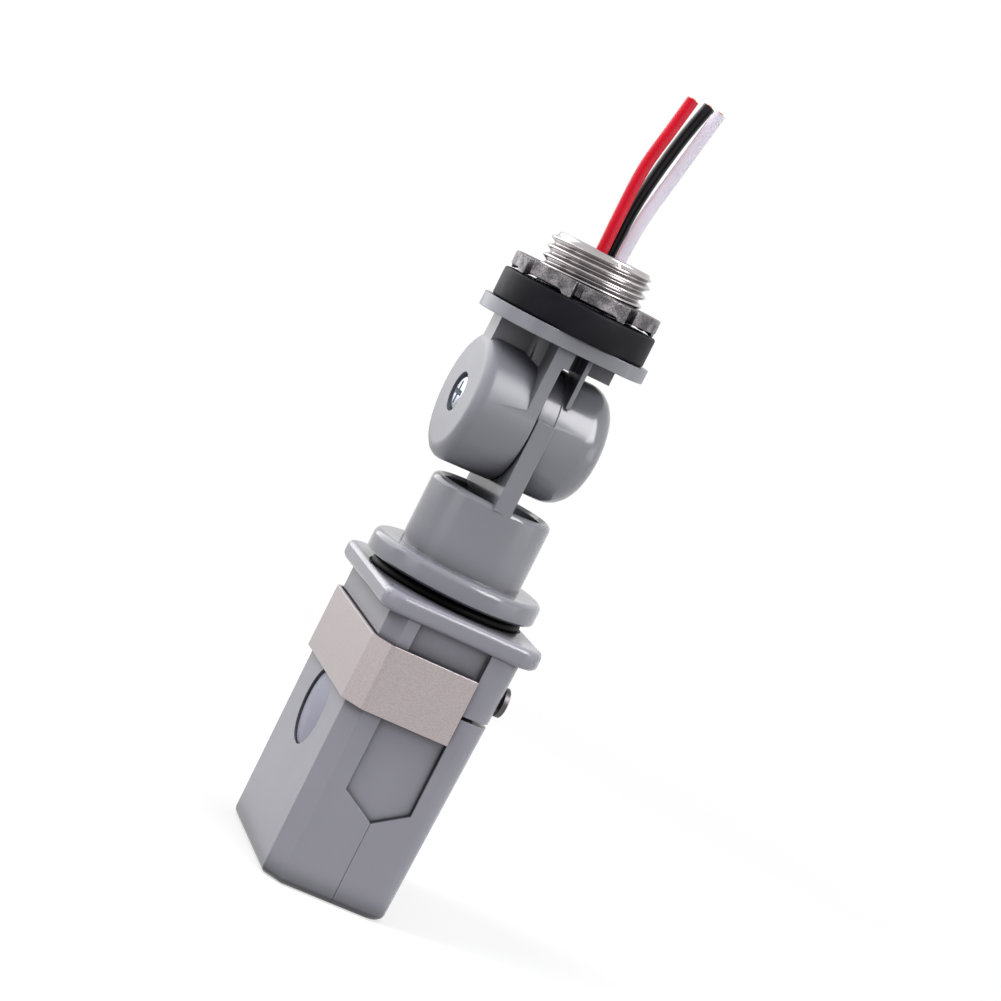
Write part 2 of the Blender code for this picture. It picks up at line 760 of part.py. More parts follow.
def make_lower_arm(parent):
    """Neck, cap disc and spigot, with the web and the right half of the knuckle."""
    obj = piece("lower_arm", turned(lower_arm_profile()), GREY_DARK, parent)
    web_left = MATING_X + GAP
    web_right = web_left + WEB_THICKNESS
    pivot = (0, 0, PIVOT_HEIGHT)
    web_low = NECK_FLOOR - NECK_WALL
    web_high = PIVOT_HEIGHT + WEB_FLAT_RISE
    rim = NECK_TOP - NECK_EDGE_RADIUS
    root = (-WEB_ROOT_HALF_WIDTH, WEB_ROOT_HALF_WIDTH)
    add(obj, "web_root", block((web_left + GAP, web_right - GAP), root, (web_low, rim + NECK_WALL)))
    flat = (web_left + WEB_RECESS, web_right - WEB_RECESS)
    add(obj, "web", block(flat, (-WEB_HALF_WIDTH, WEB_HALF_WIDTH), (rim + GAP, web_high)))
    add(obj, "disc", along_x(rod(DISC_RADIUS, web_left, web_right), pivot))
    add(obj, "right_barrel", along_x(turned(right_barrel_profile(web_right - GAP)), pivot))
    hole = PIVOT_SCREW_RADIUS + HOLE_CLEARANCE
    cut(obj, "lower_screw_hole", along_x(rod(hole, web_left - OVERRUN, RIGHT_BARREL_END + OVERRUN, SMALL_STEPS), pivot))
    pocket_start = RIGHT_BARREL_END - NUT_SUNK - NUT_THICKNESS - GAP
    pocket = prism(hexagon(NUT_ACROSS_FLATS + 2 * GAP), "Z", pocket_start, RIGHT_BARREL_END + OVERRUN)
    cut(obj, "nut_pocket", along_x(pocket, pivot))
    hollow = tube(PIVOT_BOSS_RADIUS, CAVITY_RADIUS - NECK_WALL / 2, web_right - WEB_THICKNESS / 3, pocket_start - GAP)
    cut(obj, "right_hollow", along_x(hollow, pivot))
    skin = WEB_THICKNESS / 5
    cut(
        obj,
        "web_channel",
        block(
            (web_left + skin, web_right - skin),
            (-PIVOT_BOSS_RADIUS, PIVOT_BOSS_RADIUS),
            (web_low - OVERRUN, PIVOT_HEIGHT - PIVOT_BOSS_RADIUS - skin),
        ),
    )
    return obj


def make_neck_retainer(parent):
    """The flat ring in the spigot's groove, under the housing's roof."""
    top = ROOF_UNDERSIDE - RETAINER_DROP
    inner = SPIGOT_RADIUS - RETAINER_GROOVE_DEPTH + HOLE_CLEARANCE
    return piece("neck_retainer", tube(inner, RETAINER_RADIUS, top - RETAINER_THICKNESS, top), ZINC, parent)


def left_barrel_profile(beyond):
    """The upper arm's half of the knuckle: flat end, rounded edge, slight taper, on past the mating face."""
    centre = (LEFT_BARREL_RADIUS - LEFT_BARREL_ROUNDING, LEFT_BARREL_END + LEFT_BARREL_ROUNDING)
    profile = [(0, LEFT_BARREL_END)]
    profile += arc(centre, LEFT_BARREL_ROUNDING, -90, 0, EDGE_STEPS + 1)
    profile += [(LEFT_BARREL_MATING_RADIUS, MATING_X), (LEFT_BARREL_MATING_RADIUS, beyond), (0, beyond)]
    return profile


def plate_outline():
    """Seen from above: a plate with four cut corners."""
    long, wide, chamfer = PLATE_HALF_LENGTH, PLATE_HALF_WIDTH, PLATE_CHAMFER
    quarter = [(long, wide - chamfer), (long - chamfer, wide)]
    half = quarter + [(-x, y) for x, y in reversed(quarter)]
    full = half + [(x, -y) for x, y in reversed(half)]
    return [(STEM_X + x, y) for x, y in full]


def cheek_outline():
    """Seen along X: the thin wall right of the slot, cleared round the knuckle."""
    radius = RIGHT_BARREL_RADIUS + CHEEK_CLEARANCE
    start = math.degrees(math.acos(CHEEK_HALF_WIDTH / radius))
    rim = arc((0, PIVOT_HEIGHT), radius, start, 180 - start, 2 * SMALL_STEPS // 2)
    high = PLATE_LOW + PLATE_THICKNESS / 2
    return rim + [(-CHEEK_HALF_WIDTH, high), (CHEEK_HALF_WIDTH, high)]


def lead_holes():
    """Where the three leads pass the plate's floor."""
    return {
        "red": RED_ROUTE[0],
        "black": BLACK_ROUTE[0],
        "white": WHITE_ROUTE[0],
    }


def make_upper_arm(parent):
    """Plate, ribs and the left half of the knuckle."""
    high = PLATE_LOW + PLATE_THICKNESS
    pivot = (0, 0, PIVOT_HEIGHT)
    overlap = PLATE_THICKNESS / 2
    slot_ceiling = PIVOT_HEIGHT + math.hypot(WEB_HALF_WIDTH, WEB_FLAT_RISE) + SLOT_CEILING_CLEARANCE
    obj = piece("upper_arm", prism(plate_outline(), "Z", PLATE_LOW, high), GREY_DARK, parent)
    stub = moved(rod(STUB_RADIUS, PIVOT_HEIGHT + CAVITY_RADIUS, PLATE_LOW + overlap), (STEM_X, 0, 0))
    add(obj, "stub", stub)
    thick = (-SPINE_HALF_THICKNESS, SPINE_HALF_THICKNESS)
    beyond = MATING_X + OVERRUN / 2
    left = (LEFT_BARREL_END + END_WALL / 8, beyond + OVERRUN / 4)
    add(obj, "left_barrel", along_x(turned(left_barrel_profile(beyond)), pivot))
    add(obj, "spine_left", block(left, thick, (PIVOT_HEIGHT + CAVITY_RADIUS + OVERRUN / 2, PLATE_LOW + overlap)))
    rib = (MATING_X - RIB_THICKNESS, beyond + OVERRUN / 8)
    add(obj, "rib", block(rib, (-RIB_HALF_WIDTH, RIB_HALF_WIDTH), (PIVOT_HEIGHT, PLATE_LOW + overlap)))
    reach = max(PLATE_HALF_LENGTH, NECK_RADIUS) + OVERRUN
    cut(
        obj,
        "slot",
        block((MATING_X, reach), (-reach, reach), (PIVOT_HEIGHT - reach, slot_ceiling)),
    )
    add(obj, "spine_right", block((STEM_X, SPINE_RIGHT), thick, (SPINE_RIGHT_LOW, PLATE_LOW + overlap)))
    cheek = MATING_X + WEB_THICKNESS + 2 * GAP
    add(obj, "cheek", prism(cheek_outline(), "X", cheek, cheek + CHEEK_THICKNESS))
    hole = PIVOT_SCREW_RADIUS + HOLE_CLEARANCE
    cut(obj, "upper_screw_hole", along_x(rod(hole, LEFT_BARREL_END - OVERRUN, MATING_X + OVERRUN, SMALL_STEPS), pivot))
    floor = LEFT_BARREL_END + PIVOT_HEAD_SUNK + PIVOT_HEAD_THICKNESS + WASHER_THICKNESS + 2 * GAP
    cut(obj, "counterbore", along_x(rod(COUNTERBORE_RADIUS, LEFT_BARREL_END - OVERRUN, floor), pivot))
    hollow = tube(PIVOT_BOSS_RADIUS, CAVITY_RADIUS, LEFT_BARREL_END + END_WALL, MATING_X + OVERRUN)
    cut(obj, "left_hollow", along_x(hollow, pivot))
    seat = moved(rod(THREAD_RADIUS + HOLE_CLEARANCE, high - NIPPLE_SEAT_DEPTH, high + OVERRUN), (STEM_X, 0, 0))
    cut(obj, "nipple_seat", seat)
    for name, (x, y, _) in lead_holes().items():
        hole = rod(LEAD_RADIUS + LEAD_HOLE_CLEARANCE, PASSAGE_LOW + GAP, high, SMALL_STEPS)
        cut(obj, name + "_hole", moved(hole, (x, y, 0)))
    well = (LEFT_BARREL_END + END_WALL, LEFT_BARREL_END + END_WALL + PASSAGE_WELL_RIGHT)
    across = (-PASSAGE_HALF_WIDTH, PASSAGE_HALF_WIDTH)
    cut(obj, "lead_passage", block((well[0], STUB_RADIUS / 2 + STEM_X), across, (PASSAGE_LOW, PASSAGE_HIGH)))
    cut(obj, "lead_well", block(well, across, (PIVOT_HEIGHT + CAVITY_RADIUS - OVERRUN, PASSAGE_LOW + GAP)))
    return obj


def make_pivot_hardware(parent, far_parent):
    """The screw along the swivel's axis with its washer, and the captive nut at its far end."""
    head_face = LEFT_BARREL_END + PIVOT_HEAD_SUNK
    under_head = head_face + PIVOT_HEAD_THICKNESS
    tip = RIGHT_BARREL_END - NUT_SUNK
    shape = screw(PIVOT_HEAD_RADIUS, PIVOT_HEAD_THICKNESS, PIVOT_SCREW_RADIUS, tip - under_head)
    bmesh.ops.rotate(shape, verts=shape.verts, cent=(0, 0, 0), matrix=Matrix.Rotation(math.pi, 3, "X"))
    bolt = piece("pivot_screw", along_x(shape, (under_head, 0, PIVOT_HEIGHT)), ZINC, parent)
    recess_width_share = 0.26
    recess_reach_share = 0.58
    bars = cross_recess(
        PIVOT_HEAD_RADIUS * recess_width_share,
        PIVOT_HEAD_RADIUS * recess_reach_share,
        PIVOT_HEAD_THICKNESS,
        PIVOT_HEAD_THICKNESS / 2,
    )
    for i, bar in enumerate(bars):
        bmesh.ops.rotate(bar, verts=bar.verts, cent=(0, 0, 0), matrix=Matrix.Rotation(math.pi, 3, "X"))
        cut(bolt, f"pivot_recess_{i}", along_x(bar, (under_head, 0, PIVOT_HEIGHT)))
    inner = PIVOT_SCREW_RADIUS + HOLE_CLEARANCE
    outer = COUNTERBORE_RADIUS - GAP
    ring = tube(inner, outer, under_head + GAP, under_head + GAP + WASHER_THICKNESS - GAP, SMALL_STEPS)
    washer = piece("pivot_washer", along_x(ring, (0, 0, PIVOT_HEIGHT)), ZINC, parent)
    nut_shape = prism(hexagon(NUT_ACROSS_FLATS), "Z", tip - NUT_THICKNESS, tip)
    nut = piece("pivot_nut", along_x(nut_shape, (0, 0, PIVOT_HEIGHT)), ZINC, far_parent)
    hole = rod(inner, tip - NUT_THICKNESS - OVERRUN, tip + OVERRUN, SMALL_STEPS)
    cut(nut, "nut_hole", along_x(hole, (0, 0, PIVOT_HEIGHT)))
    return [bolt, washer, nut]


def make_nipple(parent):
    """The threaded tube, at its full thread diameter."""
    low = PLATE_LOW + PLATE_THICKNESS - NIPPLE_SEAT_DEPTH + GAP
    profile = [
        (NIPPLE_BORE, low),
        (THREAD_RADIUS, low),
        (THREAD_RADIUS, NIPPLE_TOP - NIPPLE_CHAMFER),
        (THREAD_RADIUS - NIPPLE_CHAMFER, NIPPLE_TOP),
        (NIPPLE_BORE, NIPPLE_TOP),
    ]
    return piece("conduit_nipple", moved(turned(profile), (STEM_X, 0, 0)), NICKEL, parent)


def make_gasket(parent):
    """The thick rubber ring on the plate."""
    low = PLATE_LOW + PLATE_THICKNESS
    high = low + GASKET_THICKNESS
    inner = THREAD_RADIUS + HOLE_CLEARANCE
    profile = [
        (inner, low),
        (GASKET_RADIUS - GASKET_EDGE, low),
        (GASKET_RADIUS, low + GASKET_EDGE),
        (GASKET_RADIUS, high - GASKET_EDGE),
        (GASKET_RADIUS - GASKET_EDGE, high),
        (inner, high),
    ]
    shape = moved(turned(profile), (STEM_X, 0, 0))
    bmesh.ops.translate(shape, verts=shape.verts, vec=(0, 0, GAP))
    return piece("gasket", shape, BLACK_RUBBER, parent)


def locknut_outline():
    """Seen from above: a ring whose rim is notched between its lugs."""
    pitch = 360 / LOCKNUT_NOTCHES
    half_notch = math.degrees(math.asin(LOCKNUT_NOTCH_WIDTH / 2 / LOCKNUT_RADIUS))
    root = LOCKNUT_RADIUS - LOCKNUT_NOTCH_DEPTH
    half_root = math.degrees(math.asin(LOCKNUT_NOTCH_WIDTH / 2 / root))
    points = []
    for i in range(LOCKNUT_NOTCHES):
        notch = (i + 0.5) * pitch
        points += arc((0, 0), LOCKNUT_RADIUS, notch - pitch + half_notch, notch - half_notch, 4)
        points += arc((0, 0), root, notch - half_root, notch + half_root, 1)
    return [(STEM_X + x, y) for x, y in points]


def make_locknut(parent):
    """The notched ring that clamps the gasket."""
    low = PLATE_LOW + PLATE_THICKNESS + GASKET_THICKNESS + 2 * GAP
    high = low + LOCKNUT_THICKNESS
    obj = piece("locknut", prism(locknut_outline(), "Z", low, high), ZINC, parent)
    bore = rod(THREAD_RADIUS + HOLE_CLEARANCE, low - OVERRUN, high + OVERRUN)
    cut(obj, "locknut_bore", moved(bore, (STEM_X, 0, 0)))
    return obj


def smooth_route(points, step):
    """Points a step apart on a smooth curve through the route's own points."""
    chain = [Vector(p) for p in points]
    chain = [2 * chain[0] - chain[1]] + chain + [2 * chain[-1] - chain[-2]]
    found = []
    for a, b, c, d in zip(chain, chain[1:], chain[2:], chain[3:]):
        count = max(1, round((c - b).length / step))
        for i in range(count):
            t = i / count
            found.append(
                0.5
                * (
                    2 * b
                    + (c - a) * t
                    + (2 * a - 5 * b + 4 * c - d) * t**2
                    + (3 * b - 3 * c + d - a) * t**3
                )
            )
    found.append(chain[-2])
    return found


def make_lead(name, route, finish, parent):
    """One lead: a round tube along its route, cut square at both ends."""
    curve = bpy.data.curves.new(name, "CURVE")
    curve.dimensions = "3D"
    curve.bevel_depth = LEAD_RADIUS
    curve.bevel_resolution = 2
    curve.use_fill_caps = True
    points = smooth_route(route, LEAD_STEP)
    spline = curve.splines.new("POLY")
    spline.points.add(len(points) - 1)
    for target, point in zip(spline.points, points):
        target.co = (*point, 1)
    curve.materials.append(finish_of(name, finish))
    obj = bpy.data.objects.new(name, curve)
    bpy.context.scene.collection.objects.link(obj)
    hang(obj, parent)
    return obj


def make_circuit_board(parent):
    """The board behind the window, held by two screws."""
    rear = BOARD_FRONT + BOARD_THICKNESS
    width = (-BOARD_HALF_WIDTH, BOARD_HALF_WIDTH)
    obj = piece("circuit_board", block((BOARD_FRONT, rear), width, (BOARD_LOW, BOARD_HIGH)), BOARD_GREEN, parent)
    made = [obj]
    for side, name in ((-1, "near"), (1, "far")):
        place = (0, side * BOARD_SCREW_HALF_SPREAD, BOARD_SCREW_HEIGHT)
        radius = BOARD_SCREW_RADIUS + HOLE_CLEARANCE
        hole = rod(radius, BOARD_FRONT - OVERRUN, rear + OVERRUN, SMALL_STEPS)
        cut(obj, "board_hole_" + name, along_x(hole, place))
        shape = screw(BOARD_HEAD_RADIUS, BOARD_HEAD_THICKNESS, BOARD_SCREW_RADIUS, BOARD_SCREW_LENGTH)
        seat = (rear + GAP, place[1], place[2])
        made.append(piece("board_screw_" + name, along_x(shape, seat), ZINC, parent))
    return made


def on_board(size, centre):
    """A box on the board's rear face, from its (out, across, up) size and its (y, z) centre."""
    out, across, up = size
    y, z = centre
    start = BOARD_FRONT + BOARD_THICKNESS + GAP
    return block((start, start + out), (y - across / 2, y + across / 2), (z - up / 2, z + up / 2))


def make_board_parts(parent):
    """What the board carries: the light cell in front, the switching parts behind."""
    rear = BOARD_FRONT + BOARD_THICKNESS + GAP
    cell_back = BOARD_FRONT - GAP
    cell = turned(
        [
            (0, cell_back - CELL_THICKNESS),
            (CELL_RADIUS - CELL_STEP, cell_back - CELL_THICKNESS),
            (CELL_RADIUS - CELL_STEP, cell_back - CELL_THICKNESS / 2),
            (CELL_RADIUS, cell_back - CELL_THICKNESS / 2),
            (CELL_RADIUS, cell_back),
            (0, cell_back),
        ],
        SMALL_STEPS,
    )
    piece("light_cell", along_x(cell, (0, 0, WINDOW_HEIGHT)), CELL_TAN, parent)
    piece("relay", on_board(RELAY_SIZE, RELAY_CENTRE), RELAY_BLUE, parent)
    piece("rectifier_bridge", on_board(BRIDGE_SIZE, BRIDGE_CENTRE), SLEEVE_BLACK, parent)
    y, z = VARISTOR_CENTRE
    disc = rod(VARISTOR_RADIUS, -VARISTOR_THICKNESS / 2, VARISTOR_THICKNESS / 2, SMALL_STEPS)
    bmesh.ops.rotate(disc, verts=disc.verts, cent=(0, 0, 0), matrix=Matrix.Rotation(math.pi / 2, 3, "X"))
    piece("surge_varistor", moved(disc, (rear + VARISTOR_RADIUS, y, z)), VARISTOR_BLUE, parent)
    y, z = CAPACITOR_CENTRE
    can = rod(CAPACITOR_RADIUS, rear, rear + CAPACITOR_LENGTH, SMALL_STEPS)
    piece("filter_capacitor", along_x(can, (0, y, z)), SLEEVE_BLACK, parent)
    y, z = RESISTOR_CENTRE
    body = rod(RESISTOR_RADIUS, -RESISTOR_LENGTH / 2, RESISTOR_LENGTH / 2, SMALL_STEPS)
    bmesh.ops.rotate(body, verts=body.verts, cent=(0, 0, 0), matrix=Matrix.Rotation(math.pi / 2, 3, "X"))
    piece("dropping_resistor", moved(body, (rear + RESISTOR_RADIUS, y, z)), RESISTOR_BEIGE, parent)


def main():
    """Build the switch: housing, slide, lower arm on the neck's axis, stem on the swivel's axis."""
    clear_scene()
    housing = joint_empty("housing_frame", (0, 0, 0))
    slide = joint_empty("slide_frame", (0, 0, SLIDE_LOW))
    neck = joint_empty("neck_frame", (0, 0, CAP_LOW))
    stem = joint_empty("stem_frame", (0, 0, PIVOT_HEIGHT))
    for child in (slide, neck):
        hang(child, housing)
    hang(stem, neck)
    bpy.context.view_layer.update()
    make_front_housing(housing)
    make_rear_cover(housing)
    make_window_lens(housing)
    make_cover_screws(housing)
    make_circuit_board(housing)
    make_board_parts(housing)
    make_level_slide(slide)
    make_o_ring(neck)
    make_lower_arm(neck)
    make_neck_retainer(neck)
    make_upper_arm(stem)
    make_pivot_hardware(stem, neck)
    make_nipple(stem)
    make_gasket(stem)
    make_locknut(stem)
    make_lead("red_wire", RED_ROUTE, RED_PVC, stem)
    make_lead("black_wire", BLACK_ROUTE, BLACK_PVC, stem)
    make_lead("white_wire", WHITE_ROUTE, WHITE_PVC, stem)


main()
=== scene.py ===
"""Looks of the photocell switch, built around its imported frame.

Everything is in metres in the frame of the CAD part: +Z up the stem, the origin on the neck's axis at the
housing's flat bottom, the window facing -X and the swivel's axis along X.
"""

from __future__ import annotations

import logging
import math
from dataclasses import dataclass
from enum import Enum
from typing import Callable, ClassVar, Sequence, Union

import bmesh
import bpy
from bmesh.types import BMEdge, BMesh, BMFace, BMVert
from bpy.types import ID, Material, Node, NodeSocket, NodeTree, Object, bpy_prop_collection
from mathutils import Matrix, Vector

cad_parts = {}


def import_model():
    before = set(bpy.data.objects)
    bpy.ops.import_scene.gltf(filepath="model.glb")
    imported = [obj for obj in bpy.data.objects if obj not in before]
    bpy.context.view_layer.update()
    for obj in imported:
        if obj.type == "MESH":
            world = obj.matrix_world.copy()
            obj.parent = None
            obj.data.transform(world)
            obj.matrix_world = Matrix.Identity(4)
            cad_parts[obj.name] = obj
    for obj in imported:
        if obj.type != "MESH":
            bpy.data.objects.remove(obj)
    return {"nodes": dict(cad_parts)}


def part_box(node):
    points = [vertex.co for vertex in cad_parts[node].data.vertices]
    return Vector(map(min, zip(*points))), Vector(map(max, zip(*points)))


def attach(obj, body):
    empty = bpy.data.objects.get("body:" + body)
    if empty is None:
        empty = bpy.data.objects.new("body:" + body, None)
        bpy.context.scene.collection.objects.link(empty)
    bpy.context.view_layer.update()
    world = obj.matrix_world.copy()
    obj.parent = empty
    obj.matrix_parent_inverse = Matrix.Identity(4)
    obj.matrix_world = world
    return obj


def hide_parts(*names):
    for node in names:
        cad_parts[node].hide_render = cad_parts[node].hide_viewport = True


logger = logging.getLogger("photocell_switch")

WELD = 0.00001
FLAT_ANGLE = math.radians(0.8)
NORMAL_WEIGHT = 80
SORT_DIGITS = 7
SOFT_STEPS = 2
FRAME_PIXELS = 1001
WHITE = (1.0, 1.0, 1.0, 1.0)
MID_GREY = (0.5, 0.5, 0.5, 1.0)
UNSTRETCHED = (1.0, 1.0, 1.0)
CLOUD_BAND = (0.35, 0.65)
RUBBED_BAND = (0.80, 0.995)
BROKEN_BAND = (0.38, 0.62)
BROKEN_LEAST = 0.25
BROKEN_SCALE = 420.0
SPECKLE_BAND = (0.35, 0.60)
SPECKLE_LEAST = 0.42
EDGE_SAMPLES = 6
CORNER_SAMPLES = 8
SOCKET_KINDS = {
    "VALUE": "NodeSocketFloat",
    "VECTOR": "NodeSocketVector",
    "RGBA": "NodeSocketColor",
}
KIND_BY_LENGTH = {3: "VECTOR", 4: "RGBA"}

Point = tuple[float, float, float]
Profile = Sequence[tuple[float, float]]
Colour = tuple[float, float, float, float]
Value = Union[float, Colour, Point, NodeSocket]
Inputs = dict[Union[str, int], Value]
Sockets = bpy_prop_collection


class Body(Enum):
    """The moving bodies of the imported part."""

    HOUSING = "housing"
    SLIDE = "slide"
    KNUCKLE = "knuckle"
    STEM = "stem"


class Axis(Enum):
    """The direction in which a turned piece is laid."""

    UP = "up"
    ALONG_X = "along_x"


def srgb(red: float, green: float, blue: float) -> Colour:
    """A linear colour from its 0 to 255 values on a screen.

    Args:
        red: Red, from 0 to 255.
        green: Green, from 0 to 255.
        blue: Blue, from 0 to 255.

    Returns:
        The linear colour with full alpha.
    """

    def linear(value: float) -> float:
        """One channel, made linear."""
        share = value / 255
        return share / 12.92 if share <= 0.04045 else ((share + 0.055) / 1.055) ** 2.4

    return linear(red), linear(green), linear(blue), 1.0


class Graph:
    """A node tree with short ways to add and join its nodes."""

    def __init__(self, tree: NodeTree) -> None:
        """Keep the tree.

        Args:
            tree: The node tree of a material, a world or a group.
        """
        self.tree = tree

    def put(self, node: Node, values: Inputs) -> Node:
        """Set a node's inputs, or link other sockets to them.

        Args:
            node: The node.
            values: What each input gets, by its name or number.

        Returns:
            The same node.
        """
        for key, value in values.items():
            if isinstance(value, NodeSocket):
                self.tree.links.new(value, node.inputs[key])
            else:
                node.inputs[key].default_value = value
        return node

    def node(self, kind: str, values: Inputs | None = None, **settings: object) -> Node:
        """Add a node.

        Args:
            kind: The node's type name, without ShaderNode.
            values: What its inputs get.
            **settings: Its properties.

        Returns:
            The new node.
        """
        made = self.tree.nodes.new("ShaderNode" + kind)
        for key, value in settings.items():
            setattr(made, key, value)
        return self.put(made, values or {})

    def group(self, tree: NodeTree, **values: Value) -> Sockets:
        """Add a shader group.

        Args:
            tree: The group.
            **values: What its inputs get, with _ in place of a space.

        Returns:
            Its outputs.
        """
        made = self.node("Group", node_tree=tree)
        return self.put(made, {key.replace("_", " "): value for key, value in values.items()}).outputs

    def math(self, operation: str, first: Value, second: Value) -> NodeSocket:
        """A Math node's result.

        Args:
            operation: The operation's name.
            first: The first number.
            second: The second number.

        Returns:
            The result's socket.
        """
        return self.node("Math", {0: first, 1: second}, operation=operation).outputs[0]

    def spread(
        self, value: Value, low: Value, high: Value, to_low: Value = 0.0, to_high: Value = 1.0
    ) -> NodeSocket:
        """A value moved smoothly from one range to another and kept inside it.

        Args:
            value: The value.
            low: The lower end of its own range.
            high: The upper end of its own range.
            to_low: What the lower end becomes.
            to_high: What the upper end becomes.

        Returns:
            The result's socket.
        """
        values = {"Value": value, "From Min": low, "From Max": high, "To Min": to_low, "To Max": to_high}
        return self.node("MapRange", values, interpolation_type="SMOOTHSTEP").outputs["Result"]

    def blend(self, share: Value, first: Value, second: Value, kind: str = "MIX") -> NodeSocket:
        """Two colours mixed.

        Args:
            share: How much of the second.
            first: The first colour.
            second: The second colour.
            kind: How they mix.

        Returns:
            The mixed colour's socket.
        """
        values = {0: share, 6: first, 7: second}
        return self.node("Mix", values, data_type="RGBA", blend_type=kind).outputs[2]

    def noise(
        self, scale: Value, detail: float = 2.0, rough: float = 0.5, stretch: Value = UNSTRETCHED
    ) -> NodeSocket:
        """Cloudy noise in the piece's own coordinates.

        Args:
            scale: Waves to the metre.
            detail: How many finer layers it has.
            rough: How strong those are.
            stretch: The factor along each axis.

        Returns:
            The noise's value socket.
        """
        own = self.node("TexCoord").outputs["Object"]
        where = self.node("Mapping", {"Vector": own, "Scale": stretch}).outputs["Vector"]
        values = {"Vector": where, "Scale": scale, "Detail": detail, "Roughness": rough}
        return self.node("TexNoise", values).outputs[0]

    def bump(self, height: Value, depth: float, normal: Value | None = None) -> NodeSocket:
        """A normal from a height.

        Args:
            height: The height, from 0 to 1.
            depth: What a height of 1 is, in metres.
            normal: The normal under it.

        Returns:
            The new normal's socket.
        """
        values = {"Height": height, "Distance": depth, "Strength": 1.0}
        if normal is not None:
            values["Normal"] = normal
        return self.node("Bump", values).outputs["Normal"]


def shader_group(
    name: str, inputs: dict[str, Value], wire: Callable[[Graph, Sockets], dict[str, Value]]
) -> NodeTree:
    """A shader node group, made once.

    Args:
        name: Its name.
        inputs: What each of its inputs starts at, which also says what kind it is.
        wire: Fills the group from its input sockets and returns what each output gets.

    Returns:
        The group's node tree.
    """
    known = bpy.data.node_groups.get(name)
    if known is not None:
        return known
    tree = bpy.data.node_groups.new(name, "ShaderNodeTree")
    for key, start in inputs.items():
        kind = KIND_BY_LENGTH[len(start)] if isinstance(start, tuple) else "VALUE"
        made = tree.interface.new_socket(key, in_out="INPUT", socket_type=SOCKET_KINDS[kind])
        made.default_value = start
    graph = Graph(tree)
    results = wire(graph, tree.nodes.new("NodeGroupInput").outputs)
    for key, socket in results.items():
        tree.interface.new_socket(key, in_out="OUTPUT", socket_type=SOCKET_KINDS[socket.type])
    graph.put(tree.nodes.new("NodeGroupOutput"), results)
    return tree


def grain_group() -> NodeTree:
    """Fine grain with slow changes of colour and roughness, for anything moulded, cast or rolled.

    Returns:
        The group, which puts out a colour, a roughness and a height.
    """

    def wire(graph: Graph, given: Sockets) -> dict[str, Value]:
        """Join clouds, patches and grain."""
        clouds = graph.spread(graph.noise(given["Cloud Scale"], 3.0), *CLOUD_BAND)
        change = graph.math("MULTIPLY", given["Spread"], graph.noise(given["Patch Scale"]))
        return {
            "Colour": graph.blend(clouds, given["Colour"], given["Other Colour"]),
            "Roughness": graph.math("ADD", given["Roughness"], change),
            "Height": graph.noise(given["Grain Scale"], 2.0, 0.6),
        }

    inputs = {
        "Colour": MID_GREY,
        "Other Colour": MID_GREY,
        "Roughness": 0.3,
        "Spread": 0.1,
        "Cloud Scale": 90.0,
        "Patch Scale": 400.0,
        "Grain Scale": 3000.0,
    }
    return shader_group("fine_grain", inputs, wire)


def edge_group() -> NodeTree:
    """Edges that handling has rounded and rubbed.

    Returns:
        The group, which puts out a colour and a softened normal.
    """

    def wire(graph: Graph, given: Sockets) -> dict[str, Value]:
        """Compare the softened normal with the face's own, and break the mask up with noise."""
        soft = graph.node("Bevel", {"Radius": given["Radius"]}, samples=EDGE_SAMPLES).outputs["Normal"]
        flat = graph.node("NewGeometry").outputs["Normal"]
        close = graph.node("VectorMath", {0: soft, 1: flat}, operation="DOT_PRODUCT").outputs["Value"]
        broken = graph.spread(graph.noise(BROKEN_SCALE, 4.0, 0.65), *BROKEN_BAND, BROKEN_LEAST)
        edge = graph.math("MULTIPLY", graph.spread(close, *RUBBED_BAND, 1.0, 0.0), broken)
        mask = graph.math("MULTIPLY", edge, given["Amount"])
        return {"Colour": graph.blend(mask, given["Colour"], given["Worn Colour"]), "Normal": soft}

    inputs = {"Colour": MID_GREY, "Worn Colour": MID_GREY, "Radius": 0.0003, "Amount": 0.5}
    return shader_group("rubbed_edges", inputs, wire)


def line_group() -> NodeTree:
    """Thin lines in one direction of the piece's own space: brushing, rolling marks or lathe rings.

    Returns:
        The group, which puts out a height.
    """

    def wire(graph: Graph, given: Sockets) -> dict[str, Value]:
        """Stretch noise into lines."""
        return {"Height": graph.noise(1.0, 3.0, 0.55, given["Stretch"])}

    return shader_group("fine_lines", {"Stretch": (100.0, 100.0, 4000.0)}, wire)


def painted_shade_group() -> NodeTree:
    """Painted shade in corners and recesses: the colour is darkened where ambient occlusion finds the
    surroundings close, and open faces keep it.

    Returns:
        The group, which puts out a colour.
    """

    def wire(graph: Graph, given: Sockets) -> dict[str, Value]:
        """Paint shade into the colour where the surroundings close in."""
        # Painted shade: ambient occlusion sets how much of the dark colour goes into the base colour.
        ao_node = graph.node("AmbientOcclusion", {"Distance": given["Reach"]}, samples=CORNER_SAMPLES)
        around = ao_node.outputs["AO"]
        painted_shade = graph.spread(around, given["Closed"], given["Open"], 1.0, 0.0)
        mask = graph.math("MULTIPLY", painted_shade, given["Amount"])
        return {"Colour": graph.blend(mask, given["Colour"], given["Deep Colour"])}

    inputs = {"Colour": MID_GREY, "Deep Colour": MID_GREY, "Amount": 0.5}
    inputs |= {"Reach": 0.003, "Closed": 0.25, "Open": 0.95}
    return shader_group("painted_corner_shade", inputs, wire)


def new_material(name: str) -> tuple[Material, Graph, Node]:
    """A material with its Principled shader.

    Args:
        name: The material's name.

    Returns:
        The material, its graph and its shader.
    """
    material = bpy.data.materials.new(name)
    material.use_nodes = True
    return material, Graph(material.node_tree), material.node_tree.nodes["Principled BSDF"]


